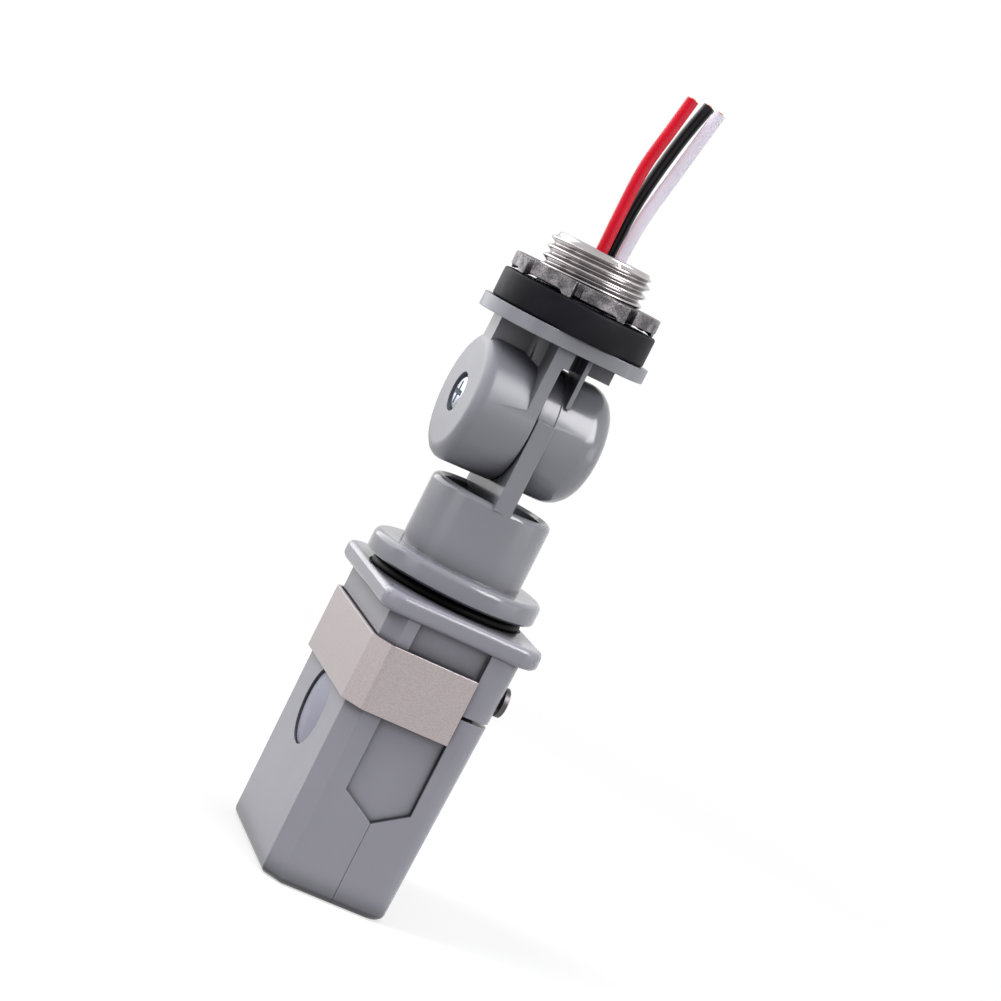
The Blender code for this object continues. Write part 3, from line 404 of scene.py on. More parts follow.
@dataclass(frozen=True)
class Finish:
    """Two close tones over a fine grain, with the scales of its clouds, patches and grain.

    A layer whose amount, depth or scale is 0 is left out.
    """

    name: str
    colour: Colour
    other_colour: Colour
    roughness: float = 0.38
    spread: float = 0.15
    scales: Point = (420.0, 400.0, 3000.0)
    grain_depth: float = 0.000008
    metallic: float = 0.0
    specular: float = 0.5
    transmission: float = 0.0
    ior: float = 1.5
    # Painted shade: in corners and recesses that ambient occlusion finds, the colour is darkened towards the
    # dark colour below, by the amount after it.
    painted_shade_colour: Colour = srgb(62, 62, 68)
    painted_shade: float = 0.0
    painted_shade_reach: float = 0.0060
    shade_closed_from: float = 0.25
    shade_open_from: float = 0.95
    worn_colour: Colour = srgb(222, 219, 219)
    wear: float = 0.0
    edge_radius: float = 0.00025
    sink_scale: float = 70.0
    sink_depth: float = 0.0
    line_stretch: Point = (60.0, 60.0, 3200.0)
    line_depth: float = 0.0
    speckle_scale: float = 0.0

    def material(self) -> Material:
        """Make the material.

        Returns:
            The finished material.
        """
        material, graph, shader = new_material(self.name)
        grain = graph.group(
            grain_group(),
            Colour=self.colour,
            Other_Colour=self.other_colour,
            Roughness=self.roughness,
            Spread=self.spread,
            Cloud_Scale=self.scales[0],
            Patch_Scale=self.scales[1],
            Grain_Scale=self.scales[2],
        )
        colour, normal = grain["Colour"], None
        # Painted shade: darken the colour in corners and recesses.
        if self.painted_shade:
            colour = graph.group(
                painted_shade_group(),
                Colour=colour,
                Deep_Colour=self.painted_shade_colour,
                Reach=self.painted_shade_reach,
                Amount=self.painted_shade,
                Closed=self.shade_closed_from,
                Open=self.shade_open_from,
            )["Colour"]
        if self.wear:
            edges = graph.group(
                edge_group(),
                Colour=colour,
                Worn_Colour=self.worn_colour,
                Radius=self.edge_radius,
                Amount=self.wear,
            )
            colour, normal = edges["Colour"], edges["Normal"]
        if self.speckle_scale:
            speckle = graph.spread(graph.noise(self.speckle_scale, 2.0, 0.7), *SPECKLE_BAND, SPECKLE_LEAST)
            colour = graph.blend(1.0, colour, speckle, "MULTIPLY")
        if self.sink_depth:
            normal = graph.bump(graph.noise(self.sink_scale, 0.0), self.sink_depth, normal)
        if self.line_depth:
            lines = graph.group(line_group(), Stretch=self.line_stretch)
            normal = graph.bump(lines["Height"], self.line_depth, normal)
        if self.grain_depth:
            normal = graph.bump(grain["Height"], self.grain_depth, normal)
        values = {
            "Base Color": colour,
            "Roughness": grain["Roughness"],
            "Normal": normal,
            "Metallic": self.metallic,
            "Specular IOR Level": self.specular,
            "Transmission Weight": self.transmission,
            "IOR": self.ior,
        }
        graph.put(shader, values)
        return material


@dataclass(frozen=True)
class MouldedPlastic(Finish):
    """Injection-moulded plastic, satin to glossy, with a fine grain, faint sink marks, rubbed edges and
    painted shade in its recesses.
    """

    roughness: float = 0.17
    spread: float = 0.04
    scales: Point = (60.0, 150.0, 2600.0)
    grain_depth: float = 0.0000012
    # Painted shade: how strongly corners and recesses are darkened.
    painted_shade: float = 0.90
    wear: float = 0.30
    sink_depth: float = 0.000012


@dataclass(frozen=True)
class BrushedSheet(Finish):
    """Satin sheet metal: an even, fine speckle over faint rolling lines."""

    roughness: float = 0.30
    spread: float = 0.08
    scales: Point = (3600.0, 1800.0, 3600.0)
    grain_depth: float = 0.000010
    metallic: float = 1.0
    worn_colour: Colour = srgb(214, 208, 207)
    wear: float = 0.6
    edge_radius: float = 0.00012
    line_stretch: Point = (90.0, 90.0, 5200.0)
    line_depth: float = 0.0000010


@dataclass(frozen=True)
class CastZinc(Finish):
    """Zinc as it comes from the mould: pitted, patchy and brighter where it is rubbed."""

    spread: float = 0.22
    scales: Point = (380.0, 1500.0, 2300.0)
    grain_depth: float = 0.000060
    metallic: float = 1.0
    wear: float = 0.8
    speckle_scale: float = 3910.0


@dataclass(frozen=True)
class TurnedMetal(Finish):
    """Plated metal off the lathe: bright, with rings left by the tool, and painted shade in the valleys of a
    thread where it is set.
    """

    spread: float = 0.05
    scales: Point = (210.0, 800.0, 4200.0)
    grain_depth: float = 0.0
    metallic: float = 1.0
    # Painted shade: a near-black tone within a short reach, for the valleys of a thread.
    painted_shade_colour: Colour = srgb(48, 45, 46)
    painted_shade_reach: float = 0.0012
    line_depth: float = 0.0000012


@dataclass(frozen=True)
class Rubber(Finish):
    """Moulded rubber: nearly black, dull, with a faint bloom."""

    roughness: float = 0.44
    spread: float = 0.16
    scales: Point = (160.0, 700.0, 3600.0)
    specular: float = 0.11


@dataclass(frozen=True)
class Insulation(Finish):
    """Extruded insulation: glossy, with slight streaks along the lead."""

    roughness: float = 0.26
    spread: float = 0.12
    scales: Point = (240.0, 600.0, 2400.0)
    grain_depth: float = 0.0
    specular: float = 0.4
    line_stretch: Point = (2600.0, 2600.0, 60.0)
    line_depth: float = 0.0000012


@dataclass(frozen=True)
class FrostedLens(Finish):
    """Frosted plastic that lets light through to the cell behind it."""

    roughness: float = 0.42
    spread: float = 0.12
    scales: Point = (120.0, 500.0, 5200.0)
    grain_depth: float = 0.000010
    transmission: float = 0.25
    ior: float = 1.49


# Painted shade: the wide band between the closed and open limits spreads darkening over the pocket and under
# the flange.
HOUSING_GREY = MouldedPlastic(
    "housing_grey",
    srgb(149, 148, 159),
    srgb(146, 145, 156),
    worn_colour=srgb(178, 177, 186),
    shade_closed_from=0.5,
    shade_open_from=0.995,
)
ARM_GREY = MouldedPlastic(
    "arm_grey", srgb(140, 140, 149), srgb(137, 137, 146), 0.13, worn_colour=srgb(172, 172, 180)
)
# Painted shade: a darker tone with a longer reach, for the shade under the plate.
STEM_GREY = MouldedPlastic(
    "stem_grey",
    srgb(138, 138, 147),
    srgb(136, 136, 145),
    0.34,
    worn_colour=srgb(170, 170, 178),
    painted_shade_colour=srgb(54, 54, 60),
    painted_shade_reach=0.0075,
)
LENS_FROST = FrostedLens("lens_frost", srgb(166, 166, 187), srgb(158, 158, 179))
SLIDE_NICKEL = BrushedSheet("slide_nickel", srgb(170, 161, 162), srgb(158, 149, 150))
COVER_SCREW_DARK = TurnedMetal("cover_screw_dark", srgb(96, 92, 95), srgb(82, 78, 80), 0.36)
PIVOT_SCREW_ZINC = TurnedMetal("pivot_screw_zinc", srgb(172, 178, 188), srgb(150, 156, 166), 0.3)
HIDDEN_ZINC = TurnedMetal("hidden_zinc", srgb(178, 176, 176), srgb(164, 162, 163), 0.26)
CAST_ZINC = CastZinc("cast_zinc", srgb(143, 139, 142), srgb(91, 88, 91))
# Painted shade darkens the valleys of the thread.
NIPPLE_BRIGHT = TurnedMetal("nipple_bright", srgb(188, 183, 184), srgb(180, 175, 176), 0.19, painted_shade=0.8)
GASKET_RUBBER = Rubber("gasket_rubber", (0.0040, 0.0038, 0.0062, 1.0), (0.0090, 0.0085, 0.0125, 1.0))
RING_RUBBER = Rubber(
    "ring_rubber", (0.0012, 0.0012, 0.0016, 1.0), (0.0024, 0.0024, 0.0030, 1.0), 0.36, specular=0.06
)
RED_SKIN = Insulation("red_skin", srgb(222, 8, 44), srgb(214, 6, 38), 0.3, specular=0.2)
BLACK_SKIN = Insulation("black_skin", srgb(12, 11, 15), srgb(8, 8, 11), specular=0.25)
WHITE_SKIN = Insulation("white_skin", srgb(238, 230, 246), srgb(234, 226, 242))
BARE_COPPER = TurnedMetal("bare_copper", srgb(206, 132, 96), srgb(188, 114, 82), 0.3)
BOARD_GREEN = Finish("board_green", srgb(34, 92, 56), srgb(28, 82, 48))
CELL_TAN = Finish("cell_tan", srgb(196, 164, 112), srgb(184, 150, 98))
RELAY_BLUE = Finish("relay_blue", srgb(40, 86, 148), srgb(34, 78, 138), 0.3)
VARISTOR_BLUE = Finish("varistor_blue", srgb(34, 74, 160), srgb(28, 66, 148), 0.32)
SLEEVE_BLACK = Finish("sleeve_black", srgb(34, 34, 36), srgb(28, 28, 30), 0.32)
RESISTOR_BEIGE = Finish("resistor_beige", srgb(188, 164, 130), srgb(176, 150, 116), 0.45)


def linked(name: str, data: ID) -> Object:
    """A new object in the scene.

    Args:
        name: Its name.
        data: Its mesh, curve, lamp or camera.

    Returns:
        The object.
    """
    obj = bpy.data.objects.new(name, data)
    bpy.context.scene.collection.objects.link(obj)
    return obj


def new_piece(
    name: str,
    shape: BMesh,
    finish: Finish,
    body: Body,
    node: str | None = None,
    sharp: float = 40.0,
    outward: bool = True,
    weighed: bool = False,
) -> Object:
    """A finished piece at the origin, which rides on its body.

    Args:
        name: The piece's name.
        shape: Its mesh, in place.
        finish: Its finish.
        body: The body that it rides on.
        node: The CAD node that it stands for.
        sharp: Edges sharper than this stay sharp, in degrees.
        outward: Whether its normals are worked out anew.
        weighed: Whether large faces set the normals, so that flats stay flat beside rounded edges.

    Returns:
        The new object.
    """
    if outward:
        bmesh.ops.recalc_face_normals(shape, faces=shape.faces)
    mesh = bpy.data.meshes.new(name)
    shape.to_mesh(mesh)
    shape.free()
    mesh.materials.append(finish.material())
    mesh.shade_smooth()
    mesh.set_sharp_from_angle(angle=math.radians(sharp))
    obj = linked(name, mesh)
    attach(obj, body.value)
    if node is not None:
        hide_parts(node)
    if weighed:
        step = obj.modifiers.new("weighted_normals", "WEIGHTED_NORMAL")
        step.keep_sharp = True
        step.weight = NORMAL_WEIGHT
    logger.info("%s rides on %s, %d faces", name, body.value, len(mesh.polygons))
    return obj


def join_flats(shape: BMesh) -> BMesh:
    """Weld near points and make flat faces whole.

    Args:
        shape: The mesh.

    Returns:
        The same mesh.
    """
    bmesh.ops.remove_doubles(shape, verts=shape.verts, dist=WELD)
    verts, edges = shape.verts, shape.edges
    bmesh.ops.dissolve_limit(shape, angle_limit=FLAT_ANGLE, verts=verts, edges=edges, delimit={"NORMAL"})
    return shape


def merged_copy(node: Object) -> BMesh:
    """A CAD node's mesh with its triangles joined.

    Args:
        node: The CAD node's object.

    Returns:
        The joined mesh.
    """
    shape = bmesh.new()
    shape.from_mesh(node.data)
    return join_flats(shape)


def bevel(shape: BMesh, edges: list[BMEdge], reach: float, segments: int, **options: object) -> None:
    """Round some edges of a shape.

    Args:
        shape: The mesh.
        edges: The edges.
        reach: How far each rounding reaches.
        segments: Faces across each rounding.
        **options: More of the operator's options.
    """
    options.update(offset=reach, segments=segments, profile=0.5, affect="EDGES", material=-1)
    bmesh.ops.bevel(shape, geom=edges, **options)


def soften(shape: BMesh, radius: float, sharp: float = 34.0) -> None:
    """Round the sharp edges of a shape.

    Args:
        shape: The mesh.
        radius: How far each rounding reaches.
        sharp: Edges that turn more than this are rounded, in degrees.
    """
    limit = math.radians(sharp)
    edges = [
        edge
        for edge in shape.edges
        if edge.is_manifold and edge.calc_face_angle(0.0) > limit and edge.calc_length() > radius * 2
    ]
    miters = {"miter_outer": "ARC", "miter_inner": "SHARP"}
    bevel(shape, edges, radius, SOFT_STEPS, clamp_overlap=True, loop_slide=True, **miters)


def ordered(shape: BMesh) -> BMesh:
    """A mesh in an order that places alone decide. A Boolean's own order changes from run to run.

    Args:
        shape: The mesh, which is freed.

    Returns:
        The same mesh in that order.
    """
    points = sorted(shape.verts, key=lambda vert: tuple(round(value, SORT_DIGITS) for value in vert.co))
    rank = {vert: i for i, vert in enumerate(points)}
    rings = []
    for face in shape.faces:
        ring = [rank[vert] for vert in face.verts]
        start = ring.index(min(ring))
        rings.append(ring[start:] + ring[:start])
    made = bmesh.new()
    verts = [made.verts.new(vert.co) for vert in points]
    for ring in sorted(rings):
        made.faces.new([verts[i] for i in ring])
    shape.free()
    return made


def combined(first: BMesh, second: BMesh, operation: str) -> BMesh:
    """Two solids joined or cut exactly.

    Args:
        first: The solid that is changed.
        second: The solid that is added or taken away.
        operation: UNION or DIFFERENCE.

    Returns:
        The new solid. The two given meshes are freed.
    """
    pair = []
    for shape in (first, second):
        mesh = bpy.data.meshes.new("operand")
        shape.to_mesh(mesh)
        shape.free()
        pair.append(linked("operand", mesh))
    step = pair[0].modifiers.new("combine", "BOOLEAN")
    step.operation = operation
    step.solver = "EXACT"
    step.object = pair[1]
    made = bmesh.new()
    made.from_object(pair[0], bpy.context.evaluated_depsgraph_get())
    for obj in pair:
        bpy.data.meshes.remove(obj.data)
    return join_flats(ordered(made))


def spin(shape: BMesh, profile: list[BMVert], edges: list[BMEdge], steps: int, **options: object) -> None:
    """Turn a profile once round Z, then weld what meets.

    Args:
        shape: The mesh.
        profile: The profile's points.
        edges: The lines between them.
        steps: Faces round it.
        **options: More of the operator's options.
    """
    options.update(cent=(0, 0, 0), axis=(0, 0, 1), angle=2 * math.pi, steps=steps)
    bmesh.ops.spin(shape, geom=profile + edges, **options)
    bmesh.ops.remove_doubles(shape, verts=shape.verts, dist=WELD)


def spun(profile: Profile, steps: int, closed: bool) -> BMesh:
    """A solid of revolution about Z.

    Args:
        profile: (radius, height) points.
        steps: Faces round it.
        closed: Whether the profile closes on itself. An open one starts and ends on the axis.

    Returns:
        The solid.
    """
    shape = bmesh.new()
    points = [shape.verts.new((radius, 0.0, height)) for radius, height in profile]
    edges = [shape.edges.new(pair) for pair in zip(points, points[1:])]
    if closed:
        edges.append(shape.edges.new((points[-1], points[0])))
    spin(shape, points, edges, steps, use_merge=True)
    return shape


def laid(shape: BMesh, axis: Axis, place: Point) -> BMesh:
    """The shape, turned onto its axis and shifted.

    Args:
        shape: A mesh made about Z.
        axis: Where its Z axis goes.
        place: The shift, in metres.

    Returns:
        The same mesh.
    """
    if axis is Axis.ALONG_X:
        turn = Matrix.Rotation(math.pi / 2, 3, "Y")
        bmesh.ops.rotate(shape, verts=shape.verts, cent=(0, 0, 0), matrix=turn)
    bmesh.ops.translate(shape, verts=shape.verts, vec=place)
    return shape


def round_of(centre: tuple[float, float], radius: float, start: float, end: float, steps: int) -> list:
    """Points of an arc, ends included.

    Args:
        centre: Its centre.
        radius: Its radius.
        start: Its first angle, in degrees.
        end: Its last angle, in degrees.
        steps: Lines along it.

    Returns:
        The points, as pairs.
    """
    angles = [math.radians(start + (end - start) * i / steps) for i in range(steps + 1)]
    return [(centre[0] + radius * math.cos(angle), centre[1] + radius * math.sin(angle)) for angle in angles]


def round_box(node: str) -> tuple[float, float, float, float]:
    """What the box of a node that is round about the stem's axis says.

    Args:
        node: The CAD node.

    Returns:
        Its axis's X, its radius, its floor and its top.
    """
    low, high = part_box(node)
    return (low.x + high.x) / 2, (high.x - low.x) / 2, low.z, high.z


def level(edge: BMEdge) -> bool:
    """Whether an edge lies level.

    Args:
        edge: The edge.

    Returns:
        True when its two ends are at one height.
    """
    return abs(edge.verts[0].co.z - edge.verts[1].co.z) < WELD


def only(kind: type, made: dict[str, list]) -> list:
    """The new elements of one kind.

    Args:
        kind: BMVert, BMEdge or BMFace.
        made: What a bmesh operator gave back.

    Returns:
        The elements.
    """
    return [item for item in made["geom"] if isinstance(item, kind)]


@dataclass
class Assembly:
    """Pieces that ride on one body, built from the frame's CAD nodes."""

    nodes: dict[str, Object]
    body: ClassVar[Body] = Body.HOUSING

    def rounded(
        self,
        node: str,
        finish: Finish,
        slot: str,
        radius: float,
        shape: BMesh | None = None,
        name: str | None = None,
    ) -> None:
        """Make a piece with rounded edges, in place of its node.

        Args:
            node: The CAD node.
            finish: The finish.
            slot: The record's material slot. It is not used.
            radius: How far the rounding of each edge reaches.
            shape: The piece's mesh, when it isn't the node's own.
            name: The piece's name, when it isn't the node's with _shell behind it.
        """
        if shape is None:
            shape = merged_copy(self.nodes[node])
        soften(shape, radius)
        name = name or node + "_shell"
        new_piece(name, shape, finish, self.body, node, outward=False, weighed=True)

    def dress(self, finishes: dict[str, Finish]) -> None:
        """Put a finish on nodes whose shapes stay.

        Args:
            finishes: The finish of each node.
        """
        for node, finish in finishes.items():
            materials = self.nodes[node].data.materials
            materials.clear()
            materials.append(finish.material())
            logger.info("%s keeps its shape", node)


@dataclass
class Housing(Assembly):
    """The moulded housing with its lens and cover screws."""

    edge: float = 0.00020
    flange_height: float = 0.0039
    flange_rounding: float = 0.0011
    flange_chamfer: float = 0.0040
    corner_shift: float = 0.0016
    corner_rounding: float = 0.0011
    rounding_steps: int = 3
    seat_rim: float = 0.0005
    seat_depth: float = 0.0010
    seat_reach: float = 0.0171
    seat_steps: int = 96
    overlap: float = 0.0001
    screw_edge: float = 0.0001
    screw_crown: float = 0.00104
    crown_share: float = 0.25
    screw_head: float = 0.00125
    seam_closed: float = 0.00024
    seam_height: float = 0.0005
    lens_steps: int = 96
    lens_edge_drop: float = 0.00075
    lens_rings: int = 9
    lens_ring_depth: float = 0.00003
    lens_sharp: float = 60.0

    def build(self) -> None:
        """Build and dress the housing's pieces."""
        self.front()
        self.cover()
        self.lens()
        for side in ("near", "far"):
            self.cover_screw("cover_screw_" + side)

    def cover_screw(self, node: str) -> None:
        """Make a cover screw with a thin, nearly flat head that stands off the housing.

        Args:
            node: The screw's node.
        """
        shape = merged_copy(self.nodes[node])
        low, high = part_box(node)
        shoulder = high.x - self.screw_crown - WELD
        for vert in shape.verts:
            if vert.co.x > shoulder:
                vert.co.x = high.x - (high.x - vert.co.x) * self.crown_share
            elif vert.co.x > (low.x + high.x) / 2:
                vert.co.x = high.x - self.screw_head
        self.rounded(node, COVER_SCREW_DARK, "zinc_steel", self.screw_edge, shape, node + "_flat")

    def front(self) -> None:
        """Make the front shell, with rounder flange corners and a rim all round the seal's seat."""
        low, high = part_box("front_housing")
        shape = merged_copy(self.nodes["front_housing"])
        self.round_corners(shape, low, high)
        shape = combined(shape, self.seat_ring(low, high), "UNION")
        self.rounded("front_housing", HOUSING_GREY, "housing_plastic", self.edge, shape)

    def round_corners(self, shape: BMesh, low: Vector, high: Vector) -> None:
        """Make the chamfers of the flange's two front corners smaller and round them.

        Args:
            shape: The front shell.
            low: Its lowest corner.
            high: Its highest corner.
        """
        floor = high.z - self.flange_height - WELD
        side_y = high.y - self.flange_chamfer
        ahead = low.x + self.flange_chamfer
        fronts, sides = [], []
        for vert in shape.verts:
            x, y = vert.co.x, abs(vert.co.y)
            if vert.co.z < floor:
                continue
            if x < low.x + self.flange_rounding + WELD and -self.flange_rounding - WELD < y - side_y < WELD:
                fronts.append(vert)
            elif y > high.y - self.flange_rounding - WELD and -WELD < x - ahead < self.flange_rounding + WELD:
                sides.append(vert)
        for vert in fronts:
            vert.co.y += math.copysign(self.corner_shift, vert.co.y)
        for vert in sides:
            vert.co.x -= self.corner_shift
        chains = [
            edge
            for group in (set(fronts), set(sides))
            for edge in shape.edges
            if group.issuperset(edge.verts) and not level(edge)
        ]
        bevel(shape, chains, self.corner_rounding, self.rounding_steps, clamp_overlap=True)

    def seat_ring(self, low: Vector, high: Vector) -> BMesh:
        """A ring that narrows the seal's seat, with the flange's rounding at the front and the rear.

        Args:
            low: The front shell's lowest corner.
            high: Its highest corner.

        Returns:
            The ring.
        """
        reach = self.flange_rounding
        floor = high.z - self.seat_depth - self.overlap
        outline = [(low.x, floor)]
        outline += round_of((low.x + reach, high.z - reach), reach, 180, 90, self.rounding_steps)
        outline += round_of((high.x - reach, high.z - reach), reach, 90, 0, self.rounding_steps)
        outline.append((high.x, floor))
        slab = bmesh.new()
        face = slab.faces.new([slab.verts.new((x, -self.seat_reach, z)) for x, z in outline])
        ends = only(BMVert, bmesh.ops.extrude_face_region(slab, geom=[face]))
        bmesh.ops.translate(slab, verts=ends, vec=(0, 2 * self.seat_reach, 0))
        bmesh.ops.recalc_face_normals(slab, faces=slab.faces)
        radius = -low.x - self.seat_rim
        hole = bmesh.new()
        sizes = {"radius1": radius, "radius2": radius, "depth": self.flange_height}
        bmesh.ops.create_cone(hole, cap_ends=True, segments=self.seat_steps, **sizes)
        bmesh.ops.translate(hole, verts=hole.verts, vec=(0, 0, high.z))
        return combined(slab, hole, "DIFFERENCE")

    def cover(self) -> None:
        """Make the rear cover, with its seam to the front shell drawn nearly shut."""
        shape = merged_copy(self.nodes["rear_cover"])
        seam = min(vert.co.x for vert in shape.verts)
        edge = [vert for vert in shape.verts if abs(vert.co.x - seam) < self.seam_height]
        apex = max(vert.co.z for vert in edge)
        beside = min(vert.co.x for vert in shape.verts if vert.co.z > apex + self.seam_height)
        wall = [vert for vert in shape.verts if abs(vert.co.x - beside) < WELD]
        corner = min(vert.co.z for vert in wall if vert.co.z > apex)
        slope = (corner - apex) / (beside - seam)
        for vert in edge:
            vert.co.x -= self.seam_closed
            if vert.co.z > apex - self.seam_height:
                vert.co.z += self.seam_closed * (1 + slope)
        for vert in wall:
            vert.co.x -= self.seam_closed
            if abs(vert.co.z - corner) < self.seam_height:
                vert.co.z += self.seam_closed
        self.rounded("rear_cover", HOUSING_GREY, "housing_plastic", self.edge, shape)

    def lens(self) -> None:
        """Make the frosted lens: a shallow dome with fine moulded rings, sunk at its rim."""
        low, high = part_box("window_lens")
        radius = (high.y - low.y) / 2
        count = 2 * self.lens_rings
        profile = [(0.0, low.x)]
        for i in range(1, count + 1):
            share = i / count
            ring = self.lens_ring_depth if i % 2 else 0.0
            profile.append((radius * share, low.x + self.lens_edge_drop * share**2 + ring))
        profile += [(radius, high.x), (0.0, high.x)]
        shape = laid(spun(profile, self.lens_steps, False), Axis.ALONG_X, (0, 0, (low.z + high.z) / 2))
        new_piece("domed_lens", shape, LENS_FROST, self.body, "window_lens", self.lens_sharp)


@dataclass
class LevelSlide(Assembly):
    """The bent metal slide that dims the window."""

    body: ClassVar[Body] = Body.SLIDE
    fold_radius: float = 0.0005
    fold_steps: int = 4
    fold_angles: tuple[float, float] = (20.0, 60.0)
    upright: float = 0.99
    edge: float = 0.00010

    def build(self) -> None:
        """Round the upright folds, then the sheared edges."""
        shape = merged_copy(self.nodes["level_slide"])
        least, most = (math.radians(angle) for angle in self.fold_angles)
        folds = [
            edge
            for edge in shape.edges
            if abs((edge.verts[0].co - edge.verts[1].co).normalized().z) > self.upright
            and least < edge.calc_face_angle(0.0) < most
        ]
        bevel(shape, folds, self.fold_radius, self.fold_steps)
        self.rounded("level_slide", SLIDE_NICKEL, "slide_metal", self.edge, shape, "level_slide_sheet")


@dataclass
class SwivelArm(Assembly):
    """The lower arm with its seal, retaining ring and captive nut."""

    body: ClassVar[Body] = Body.KNUCKLE
    edge: float = 0.00025
    nut_edge: float = 0.0002
    ring_points: int = 24
    ring_steps: int = 96
    ring_inset: float = 0.0012

    def build(self) -> None:
        """Build and dress the lower arm's pieces."""
        self.rounded("lower_arm", ARM_GREY, "arm_plastic", self.edge)
        self.seal()
        self.dress({"neck_retainer": HIDDEN_ZINC})
        self.rounded("pivot_nut", HIDDEN_ZINC, "zinc_steel", self.nut_edge)

    def seal(self) -> None:
        """Make the ring under the cap disc."""
        low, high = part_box("o_ring")
        section = (high.z - low.z) / 2
        centre = (high.x - section - self.ring_inset, (high.z + low.z) / 2)
        profile = round_of(centre, section, 0, 360, self.ring_points)[:-1]
        shape = spun(profile, self.ring_steps, True)
        new_piece("seal_ring", shape, RING_RUBBER, self.body, "o_ring")


@dataclass
class StemArm(Assembly):
    """The upper arm with the pivot screw and its washer."""

    body: ClassVar[Body] = Body.STEM
    edge: float = 0.00025
    plate_radius: float = 0.0170
    plate_half_width: float = 0.0142
    plate_outline: float = 0.0145
    plate_cuts: int = 11
    plate_rounding: float = 0.00060
    rounding_steps: int = 3
    wall_lean: float = 0.1
    rim_lean: float = 0.5
    screw_edge: float = 0.0001
    head_growth: float = 1.09
    head_rise: float = 0.00020

    def build(self) -> None:
        """Build and dress the upper arm's pieces."""
        self.arm()
        self.pivot_screw()
        self.dress({"pivot_washer": HIDDEN_ZINC})

    def arm(self) -> None:
        """Make the upper arm, with its plate trimmed from eight corners to a disc with two flats."""
        shape = merged_copy(self.nodes["upper_arm"])
        axis_x = round_box("conduit_nipple")[0]
        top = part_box("upper_arm")[1].z

        def outside(vert: BMVert) -> bool:
            """Whether a point lies out at the plate's rim."""
            return math.hypot(vert.co.x - axis_x, vert.co.y) > self.plate_outline

        walls = [
            face
            for face in shape.faces
            if abs(face.normal.z) < self.wall_lean
            and max(vert.co.z for vert in face.verts) > top - WELD
            and all(outside(vert) for vert in face.verts)
        ]
        rims = {edge for face in walls for edge in face.edges if level(edge)}
        under = min(vert.co.z for face in walls for vert in face.verts)
        bmesh.ops.subdivide_edges(shape, edges=list(rims), cuts=self.plate_cuts)
        outline = {vert for vert in shape.verts if vert.co.z > under - WELD and outside(vert)}
        for vert in outline:
            across, along = vert.co.x - axis_x, vert.co.y
            reach = math.hypot(across, along)
            target = min(self.plate_radius, self.plate_half_width * reach / max(abs(along), WELD))
            vert.co.x = axis_x + across * target / reach
            vert.co.y = along * target / reach
        rims = [
            edge
            for edge in shape.edges
            if outline.issuperset(edge.verts)
            and level(edge)
            and any(abs(face.normal.z) < self.rim_lean for face in edge.link_faces)
        ]
        bevel(shape, rims, self.plate_rounding, self.rounding_steps, clamp_overlap=True)
        self.rounded("upper_arm", STEM_GREY, "arm_plastic", self.edge, shape)

    def pivot_screw(self) -> None:
        """Make the pivot screw, whose head nearly fills its counterbore."""
        shape = merged_copy(self.nodes["pivot_screw"])
        low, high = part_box("pivot_screw")
        centre = (low.z + high.z) / 2
        reach = (high.z - low.z) / 2
        shank = min(math.hypot(v.co.y, v.co.z - centre) for v in shape.verts if v.co.x > (low.x + high.x) / 2)
        under = max(v.co.x for v in shape.verts if math.hypot(v.co.y, v.co.z - centre) > (shank + reach) / 2)
        for vert in shape.verts:
            if vert.co.x < under + WELD:
                vert.co.y *= self.head_growth
                vert.co.z = centre + (vert.co.z - centre) * self.head_growth
            if vert.co.x < under - WELD:
                vert.co.x -= self.head_rise
        self.rounded("pivot_screw", PIVOT_SCREW_ZINC, "zinc_steel", self.screw_edge, shape, "pivot_bolt")


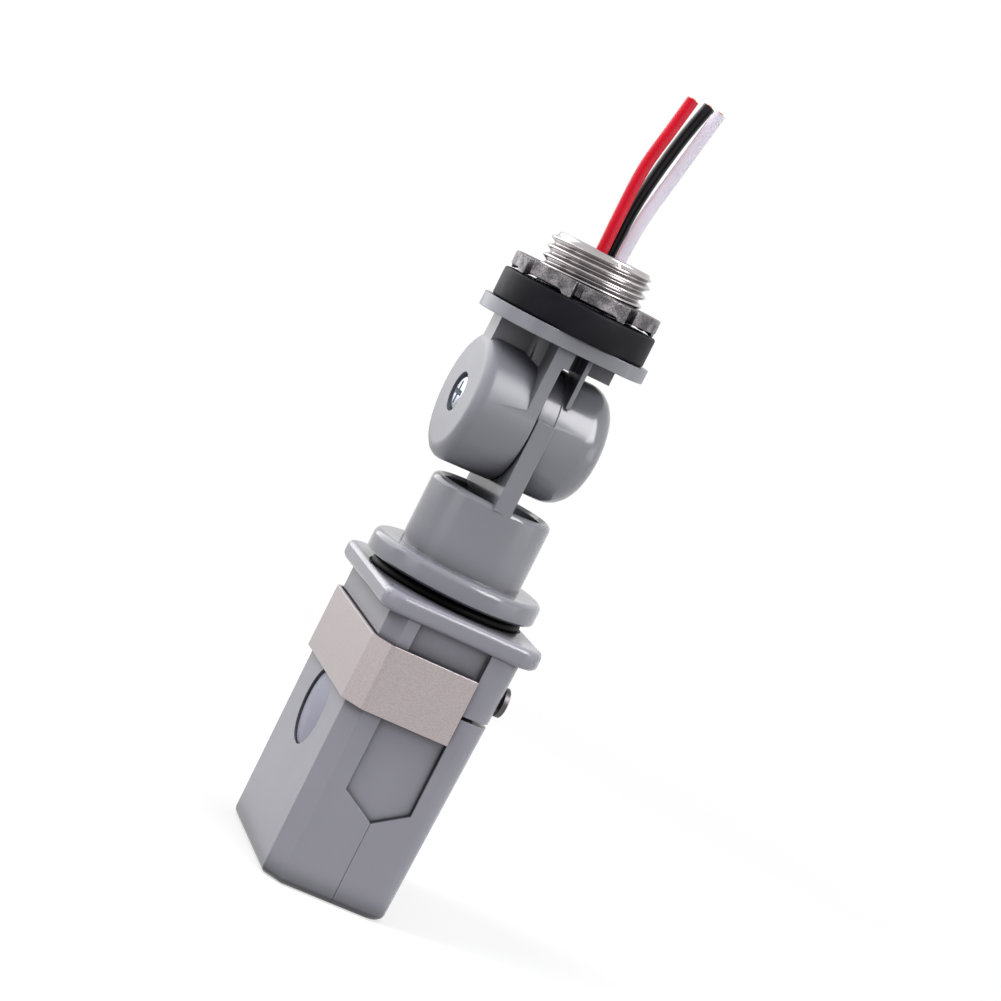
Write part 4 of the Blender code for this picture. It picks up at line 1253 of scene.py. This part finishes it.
@dataclass
class ConduitEntry(Assembly):
    """The threaded nipple, the gasket under it and the locknut round it."""

    body: ClassVar[Body] = Body.STEM
    bore: float = 0.0079
    pitch: float = 0.001814
    thread_depth: float = 0.00108
    thread_points: int = 12
    thread_steps: int = 144
    thread_sharp: float = 75.0
    lip: float = 0.0010
    lip_steps: int = 4
    mouth_steps: int = 3
    gasket_edge: float = 0.0005
    gasket_squeeze: float = 0.00026
    gasket_steps: int = 128
    fit: float = 0.0002
    lugs: int = 8
    columns_a_pitch: int = 14
    notch_columns: int = 2
    notch_depth: float = 0.0023
    tooth_drop: float = 0.0007
    tooth_share: float = 0.26
    nut_edge: float = 0.00028
    nut_sharp: float = 50.0
    rim_share: float = 0.99

    def build(self) -> None:
        """Build and dress the nipple, the gasket and the locknut."""
        self.nipple()
        self.gasket()
        self.locknut()

    def inner_radius(self) -> float:
        """The radius of what sits on the thread.

        Returns:
            The thread's radius with its fit.
        """
        return round_box("conduit_nipple")[1] + self.fit

    def nipple(self) -> None:
        """Make a tube with a helical thread."""
        axis_x, crest, floor, top = round_box("conduit_nipple")
        root = crest - self.thread_depth
        turns = math.ceil((top - floor) / self.pitch) + 2
        shape = bmesh.new()
        points = []
        for i in range(turns * self.thread_points):
            turned = i / self.thread_points
            radius = crest - self.thread_depth * (1 + math.cos(2 * math.pi * turned)) / 2
            points.append(shape.verts.new((radius, 0.0, floor + (turned - 1) * self.pitch)))
        edges = [shape.edges.new(pair) for pair in zip(points, points[1:])]
        rise = (0, 0, self.pitch / self.thread_steps)
        spin(shape, points, edges, self.thread_steps, dvec=rise, use_merge=False)
        for height, normal in ((floor, (0, 0, -1)), (top - self.lip, (0, 0, 1))):
            cut = {"plane_co": (0, 0, height), "plane_no": normal, "clear_outer": True}
            bmesh.ops.bisect_plane(shape, geom=shape.verts[:] + shape.edges[:] + shape.faces[:], **cut)
        middle = (floor + top) / 2
        upper, lower = [], []
        for edge in shape.edges:
            if edge.is_boundary:
                (upper if edge.verts[0].co.z > middle else lower).append(edge)
        shoulder, mouth = self.lip / 2, self.lip / 3
        steps = round_of((root - shoulder, top - shoulder), shoulder, 0, 90, self.lip_steps)
        steps += round_of((self.bore + mouth, top - mouth), mouth, 90, 180, self.mouth_steps)
        self.close_end(shape, upper, steps)
        ends = self.close_end(shape, lower, ((self.bore, floor),))
        ends += [edge for edge in shape.edges if edge.is_boundary and edge.verts[0].co.z > middle]
        bmesh.ops.bridge_loops(shape, edges=ends)
        bmesh.ops.remove_doubles(shape, verts=shape.verts, dist=WELD)
        laid(shape, Axis.UP, (axis_x, 0, 0))
        node, slot = "conduit_nipple", "nipple_metal"
        new_piece("threaded_nipple", shape, NIPPLE_BRIGHT, self.body, node, self.thread_sharp)

    @staticmethod
    def close_end(shape: BMesh, rim: list[BMEdge], steps: Profile) -> list[BMEdge]:
        """Carry a rim inwards over several radii and heights.

        Args:
            shape: The mesh.
            rim: The edges of its open end.
            steps: The (radius, height) of each new ring.

        Returns:
            The edges of the last ring.
        """
        for radius, height in steps:
            made = bmesh.ops.extrude_edge_only(shape, edges=rim)
            for vert in only(BMVert, made):
                share = radius / math.hypot(vert.co.x, vert.co.y)
                vert.co = (vert.co.x * share, vert.co.y * share, height)
            rim = [
                edge
                for edge in only(BMEdge, made)
                if edge.is_boundary and all(abs(vert.co.z - height) < WELD for vert in edge.verts)
            ]
        return rim

    def gasket(self) -> None:
        """Make the thick rubber ring with rounded edges."""
        axis_x, radius, floor, top = round_box("gasket")
        floor, top = floor - self.gasket_squeeze, top + self.gasket_squeeze
        edge, inner = self.gasket_edge, self.inner_radius()
        profile = [(inner, floor)]
        profile += round_of((radius - edge, floor + edge), edge, -90, 0, self.lip_steps)
        profile += round_of((radius - edge, top - edge), edge, 0, 90, self.lip_steps)
        profile.append((inner, top))
        shape = laid(spun(profile, self.gasket_steps, True), Axis.UP, (axis_x, 0, 0))
        new_piece("sealing_gasket", shape, GASKET_RUBBER, self.body, "gasket")

    def locknut(self) -> None:
        """Make the cast locknut: a ring, eight lugs pulled out of its rim, and a tooth under each."""
        axis_x, radius, tooth, top = round_box("locknut")
        root, inner = radius - self.notch_depth, self.inner_radius()
        floor = tooth + self.tooth_drop
        middle = (floor + top) / 2
        outline = ((inner, floor), (root, floor), (root, top), (inner, top))
        shape = spun(outline, self.lugs * self.columns_a_pitch, True)
        pitch = 360 / self.lugs
        half_notch = pitch * self.notch_columns / self.columns_a_pitch / 2
        groups: dict[int, list[BMFace]] = {}
        for face in shape.faces:
            centre = face.calc_center_median()
            if math.hypot(centre.x, centre.y) < root * self.rim_share or abs(centre.z - middle) > WELD:
                continue
            angle = math.degrees(math.atan2(centre.y, centre.x)) % 360
            if abs((angle % pitch) - pitch / 2) > half_notch:
                groups.setdefault(int(((angle + pitch / 2) % 360) // pitch), []).append(face)
        for lug, faces in groups.items():
            tips = only(BMVert, bmesh.ops.extrude_face_region(shape, geom=faces))
            bmesh.ops.delete(shape, geom=faces, context="FACES_ONLY")
            bmesh.ops.scale(shape, vec=(radius / root, radius / root, 1.0), verts=tips)
            for vert in tips:
                ahead = math.remainder(math.degrees(math.atan2(vert.co.y, vert.co.x)) - lug * pitch, 360)
                if vert.co.z < middle and ahead > pitch * self.tooth_share:
                    vert.co.z = tooth
        soften(shape, self.nut_edge, self.nut_sharp)
        laid(shape, Axis.UP, (axis_x, 0, 0))
        new_piece("cast_locknut", shape, CAST_ZINC, self.body, "locknut", weighed=True)


@dataclass(frozen=True)
class LeadPlan:
    """One lead: its colour's name, its skin, how far forward it lies, and the X and Z that it passes."""

    colour: str
    skin: Insulation
    across: float
    route: tuple[tuple[float, float], ...]


HEIGHTS = (-0.0049, 0.0025, 0.0095)
LEAD_PLANS = (
    LeadPlan(
        "red",
        RED_SKIN,
        -0.0014,
        (
            *zip((-0.0014, -0.0014, -0.0013), HEIGHTS),
            *((-0.0013, 0.0169), (-0.0014, 0.0245), (-0.0012, 0.0334), (0.0002, 0.0418), (0.0014, 0.0488)),
        ),
    ),
    LeadPlan(
        "black",
        BLACK_SKIN,
        0.0015,
        (
            *zip((0.0011, 0.0011, 0.0012), HEIGHTS),
            *((0.0013, 0.0171), (0.0014, 0.0250), (0.0023, 0.0330), (0.0040, 0.0422), (0.0058, 0.0492)),
        ),
    ),
    LeadPlan(
        "white",
        WHITE_SKIN,
        -0.0014,
        (
            *zip((0.0026, 0.0026, 0.0026), HEIGHTS),
            *((0.0027, 0.0169), (0.0032, 0.0250), (0.0051, 0.0362), (0.0062, 0.0425), (0.0073, 0.0488)),
        ),
    ),
)


@dataclass
class Leads:
    """The three leads that leave through the nipple, cut square, with their strands showing in the cut."""

    start: Point = (-0.0019, 0.0, 0.1135)
    radius: float = 0.0012
    roundness: int = 6
    step: float = 0.0024
    strand_radius: float = 0.00019
    strand_taper: float = 0.9
    strand_sides: int = 12
    strand_ring: float = 0.00042
    strands_round: int = 6
    strand_length: float = 0.0020
    set_back: float = 0.00025

    def build(self) -> None:
        """Build and dress the three leads."""
        for plan in LEAD_PLANS:
            points = self.smooth(plan)
            self.insulation(plan, points, self.conductor(plan, points))

    def smooth(self, plan: LeadPlan) -> list[Vector]:
        """The lead's centreline.

        Args:
            plan: The lead's plan.

        Returns:
            Points a step apart on a smooth curve through the route.
        """
        chain = [Vector(self.start) + Vector((x, plan.across, z)) for x, z in plan.route]
        chain = [2 * chain[0] - chain[1]] + chain + [2 * chain[-1] - chain[-2]]
        found = []
        for a, b, c, d in zip(chain, chain[1:], chain[2:], chain[3:]):
            square, cube = 2 * a - 5 * b + 4 * c - d, 3 * b - 3 * c + d - a
            count = max(1, round((c - b).length / self.step))
            for t in (i / count for i in range(count)):
                found.append(0.5 * (2 * b + (c - a) * t + square * t**2 + cube * t**3))
        found.append(chain[-2])
        return found

    def insulation(self, plan: LeadPlan, points: list[Vector], core: Object) -> None:
        """Make the lead's round skin.

        Args:
            plan: The lead's plan.
            points: Its centreline.
            core: The strands in its cut end. It is not used.
        """
        line = points[:-1] + [points[-1] - (points[-1] - points[-2]).normalized() * self.set_back]
        node = plan.colour + "_wire"
        curve = bpy.data.curves.new(node + "_skin", "CURVE")
        curve.dimensions = "3D"
        curve.bevel_depth = self.radius
        curve.bevel_resolution = self.roundness
        curve.use_fill_caps = True
        spline = curve.splines.new("POLY")
        spline.points.add(len(line) - 1)
        for target, point in zip(spline.points, line):
            target.co = (*point, 1.0)
        curve.materials.append(plan.skin.material())
        obj = linked(node + "_skin", curve)
        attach(obj, Body.STEM.value)
        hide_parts(node)

    def conductor(self, plan: LeadPlan, points: list[Vector]) -> Object:
        """The copper strands in the lead's cut end.

        Args:
            plan: The lead's plan.
            points: Its centreline.

        Returns:
            The strands.
        """
        turn = (points[-1] - points[-2]).normalized().to_track_quat("Z", "Y").to_matrix()
        shape = bmesh.new()
        for x, y in [(0.0, 0.0)] + round_of((0, 0), self.strand_ring, 0, 360, self.strands_round)[:-1]:
            radii = {"radius1": self.strand_radius, "radius2": self.strand_radius * self.strand_taper}
            sizes = {"segments": self.strand_sides, "depth": self.strand_length}
            made = bmesh.ops.create_cone(shape, cap_ends=True, **radii, **sizes)
            bmesh.ops.translate(shape, verts=made["verts"], vec=(x, y, -self.strand_length / 2))
        bmesh.ops.rotate(shape, verts=shape.verts, cent=(0, 0, 0), matrix=turn)
        bmesh.ops.translate(shape, verts=shape.verts, vec=points[-1])
        return new_piece(plan.colour + "_wire_strands", shape, BARE_COPPER, Body.STEM)


@dataclass
class Electronics(Assembly):
    """The board and what it carries, inside the closed housing."""

    def build(self) -> None:
        """Dress the hidden parts."""
        self.dress(
            {
                "circuit_board": BOARD_GREEN,
                "light_cell": CELL_TAN,
                "relay": RELAY_BLUE,
                "surge_varistor": VARISTOR_BLUE,
                "filter_capacitor": SLEEVE_BLACK,
                "rectifier_bridge": SLEEVE_BLACK,
                "dropping_resistor": RESISTOR_BEIGE,
                "board_screw_near": HIDDEN_ZINC,
                "board_screw_far": HIDDEN_ZINC,
            }
        )


@dataclass(frozen=True)
class PhotoCamera:
    """The camera at the photograph's place."""

    place: Point = (-0.1645, -0.5241, 0.1322)
    azimuth: float = 17.57
    down: float = 5.5
    roll: float = 26.71
    focal_pixels: float = 2930.5
    sensor: float = 36.0
    nearest: float = 0.01
    farthest: float = 20.0

    def build(self) -> None:
        """Make the camera and set it as the scene's."""
        axes = Matrix.Identity(4)
        for angle, axis in ((-self.azimuth, "Z"), (90 - self.down, "X"), (self.roll, "Z")):
            axes = axes @ Matrix.Rotation(math.radians(angle), 4, axis)
        data = bpy.data.cameras.new("photo_camera")
        data.sensor_width = self.sensor
        data.lens = self.focal_pixels / FRAME_PIXELS * self.sensor
        data.clip_start = self.nearest
        data.clip_end = self.farthest
        camera = linked("photo_camera", data)
        camera.matrix_world = Matrix.Translation(self.place) @ axes
        bpy.context.scene.camera = camera


@dataclass(frozen=True)
class Softbox:
    """A flat lamp at a bearing from the object: 0 is the camera's side, -Y, and 90 is +X."""

    name: str
    bearing: float
    height: float
    radiance: float
    across: float
    up: float
    distance: float = 0.9
    lights: bool = True
    shows: bool = True
    aim: Point = (0.0, 0.0, 0.08)

    def build(self) -> None:
        """Make the lamp."""
        turn, rise = math.radians(self.bearing), math.radians(self.height)
        out = Vector((math.sin(turn) * math.cos(rise), -math.cos(turn) * math.cos(rise), math.sin(rise)))
        data = bpy.data.lights.new(self.name, "AREA")
        data.shape = "RECTANGLE"
        data.size = self.across
        data.size_y = self.up
        data.energy = self.radiance * math.pi * self.across * self.up
        lamp = linked(self.name, data)
        lamp.location = Vector(self.aim) + out * self.distance
        lamp.rotation_mode = "QUATERNION"
        lamp.rotation_quaternion = (-out).to_track_quat("-Z", "Y")
        lamp.visible_camera = False
        lamp.visible_diffuse = self.lights
        lamp.visible_glossy = self.shows


@dataclass(frozen=True)
class Studio:
    """A white world and floor with soft lamps."""

    ambient: float = 0.20
    floor_half: float = 3.0
    floor_paper: float = 0.42
    floor_glow: float = 0.62
    floor_roughness: float = 0.9
    fade_start: float = 0.10
    fade_end: float = 0.55
    lamps: tuple[Softbox, ...] = (
        Softbox("left_wash", -84.0, 42.0, 6.6, 0.50, 0.60, shows=False),
        Softbox("front_wash", 24.0, 15.0, 2.9, 0.60, 0.50, shows=False),
        Softbox("right_wash", 70.0, 8.0, 2.5, 0.50, 0.50, shows=False),
        Softbox("top_wash", 30.0, 80.0, 4.2, 0.60, 0.60, shows=False),
        Softbox("right_panel", 40.0, 39.0, 11.0, 0.50, 0.60, lights=False),
        Softbox("low_right_panel", 66.0, 0.0, 1.7, 0.60, 0.36, lights=False),
        Softbox("fold_panel", -74.0, 4.0, 1.8, 0.34, 0.60, lights=False),
        Softbox("left_panel", -136.0, 22.0, 2.7, 1.10, 0.90, lights=False),
    )

    def build(self) -> None:
        """Make the world, the floor and the lamps."""
        bpy.context.scene.view_settings.view_transform = "Standard"
        self.world()
        self.floor()
        for lamp in self.lamps:
            lamp.build()

    def world(self) -> None:
        """Make a dim white sky that the camera and reflections see as pure white."""
        world = bpy.data.worlds.new("studio_world")
        world.use_nodes = True
        graph = Graph(world.node_tree)
        strength = graph.spread(self.seen_share(graph), 0.0, 1.0, self.ambient, 1.0)
        graph.put(world.node_tree.nodes["Background"], {"Color": WHITE, "Strength": strength})
        bpy.context.scene.world = world

    @staticmethod
    def seen_share(graph: Graph) -> NodeSocket:
        """1 for camera, glossy and transmission rays, or else 0.

        Args:
            graph: The graph that gets the nodes.

        Returns:
            The share's socket.
        """
        path = graph.node("LightPath").outputs
        either = graph.math("MAXIMUM", path["Is Camera Ray"], path["Is Glossy Ray"])
        return graph.math("MAXIMUM", either, path["Is Transmission Ray"])

    def floor(self) -> None:
        """Make a white floor that keeps the object's shadow and glows more the farther out it is."""
        shape = bmesh.new()
        bmesh.ops.create_grid(shape, x_segments=1, y_segments=1, size=self.floor_half)
        mesh = bpy.data.meshes.new("studio_floor")
        shape.to_mesh(mesh)
        shape.free()
        material, graph, shader = new_material("floor_paper")
        own = graph.node("TexCoord").outputs["Object"]
        reach = graph.node("VectorMath", {0: own}, operation="LENGTH").outputs["Value"]
        away = graph.spread(reach, self.fade_start, self.fade_end)
        glow = graph.spread(away, 0.0, 1.0, self.floor_glow, 1.0)
        paper = (self.floor_paper, self.floor_paper, self.floor_paper, 1.0)
        values = {
            "Base Color": graph.blend(away, paper, (0.0, 0.0, 0.0, 1.0)),
            "Roughness": self.floor_roughness,
            "Specular IOR Level": 0.0,
            "Emission Color": WHITE,
            "Emission Strength": graph.math("MULTIPLY", self.seen_share(graph), glow),
        }
        graph.put(shader, values)
        mesh.materials.append(material)
        linked("studio_floor", mesh)


def main() -> None:
    """Load the frame, then build and dress every piece of the switch."""
    logging.basicConfig(level=logging.INFO, format="%(message)s")
    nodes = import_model()["nodes"]
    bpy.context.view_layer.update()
    for scenery in (PhotoCamera(), Leads(), Studio()):
        scenery.build()
    for kind in (Housing, LevelSlide, SwivelArm, StemArm, ConduitEntry, Electronics):
        kind(nodes).build()


if __name__ == "__main__":
    main()
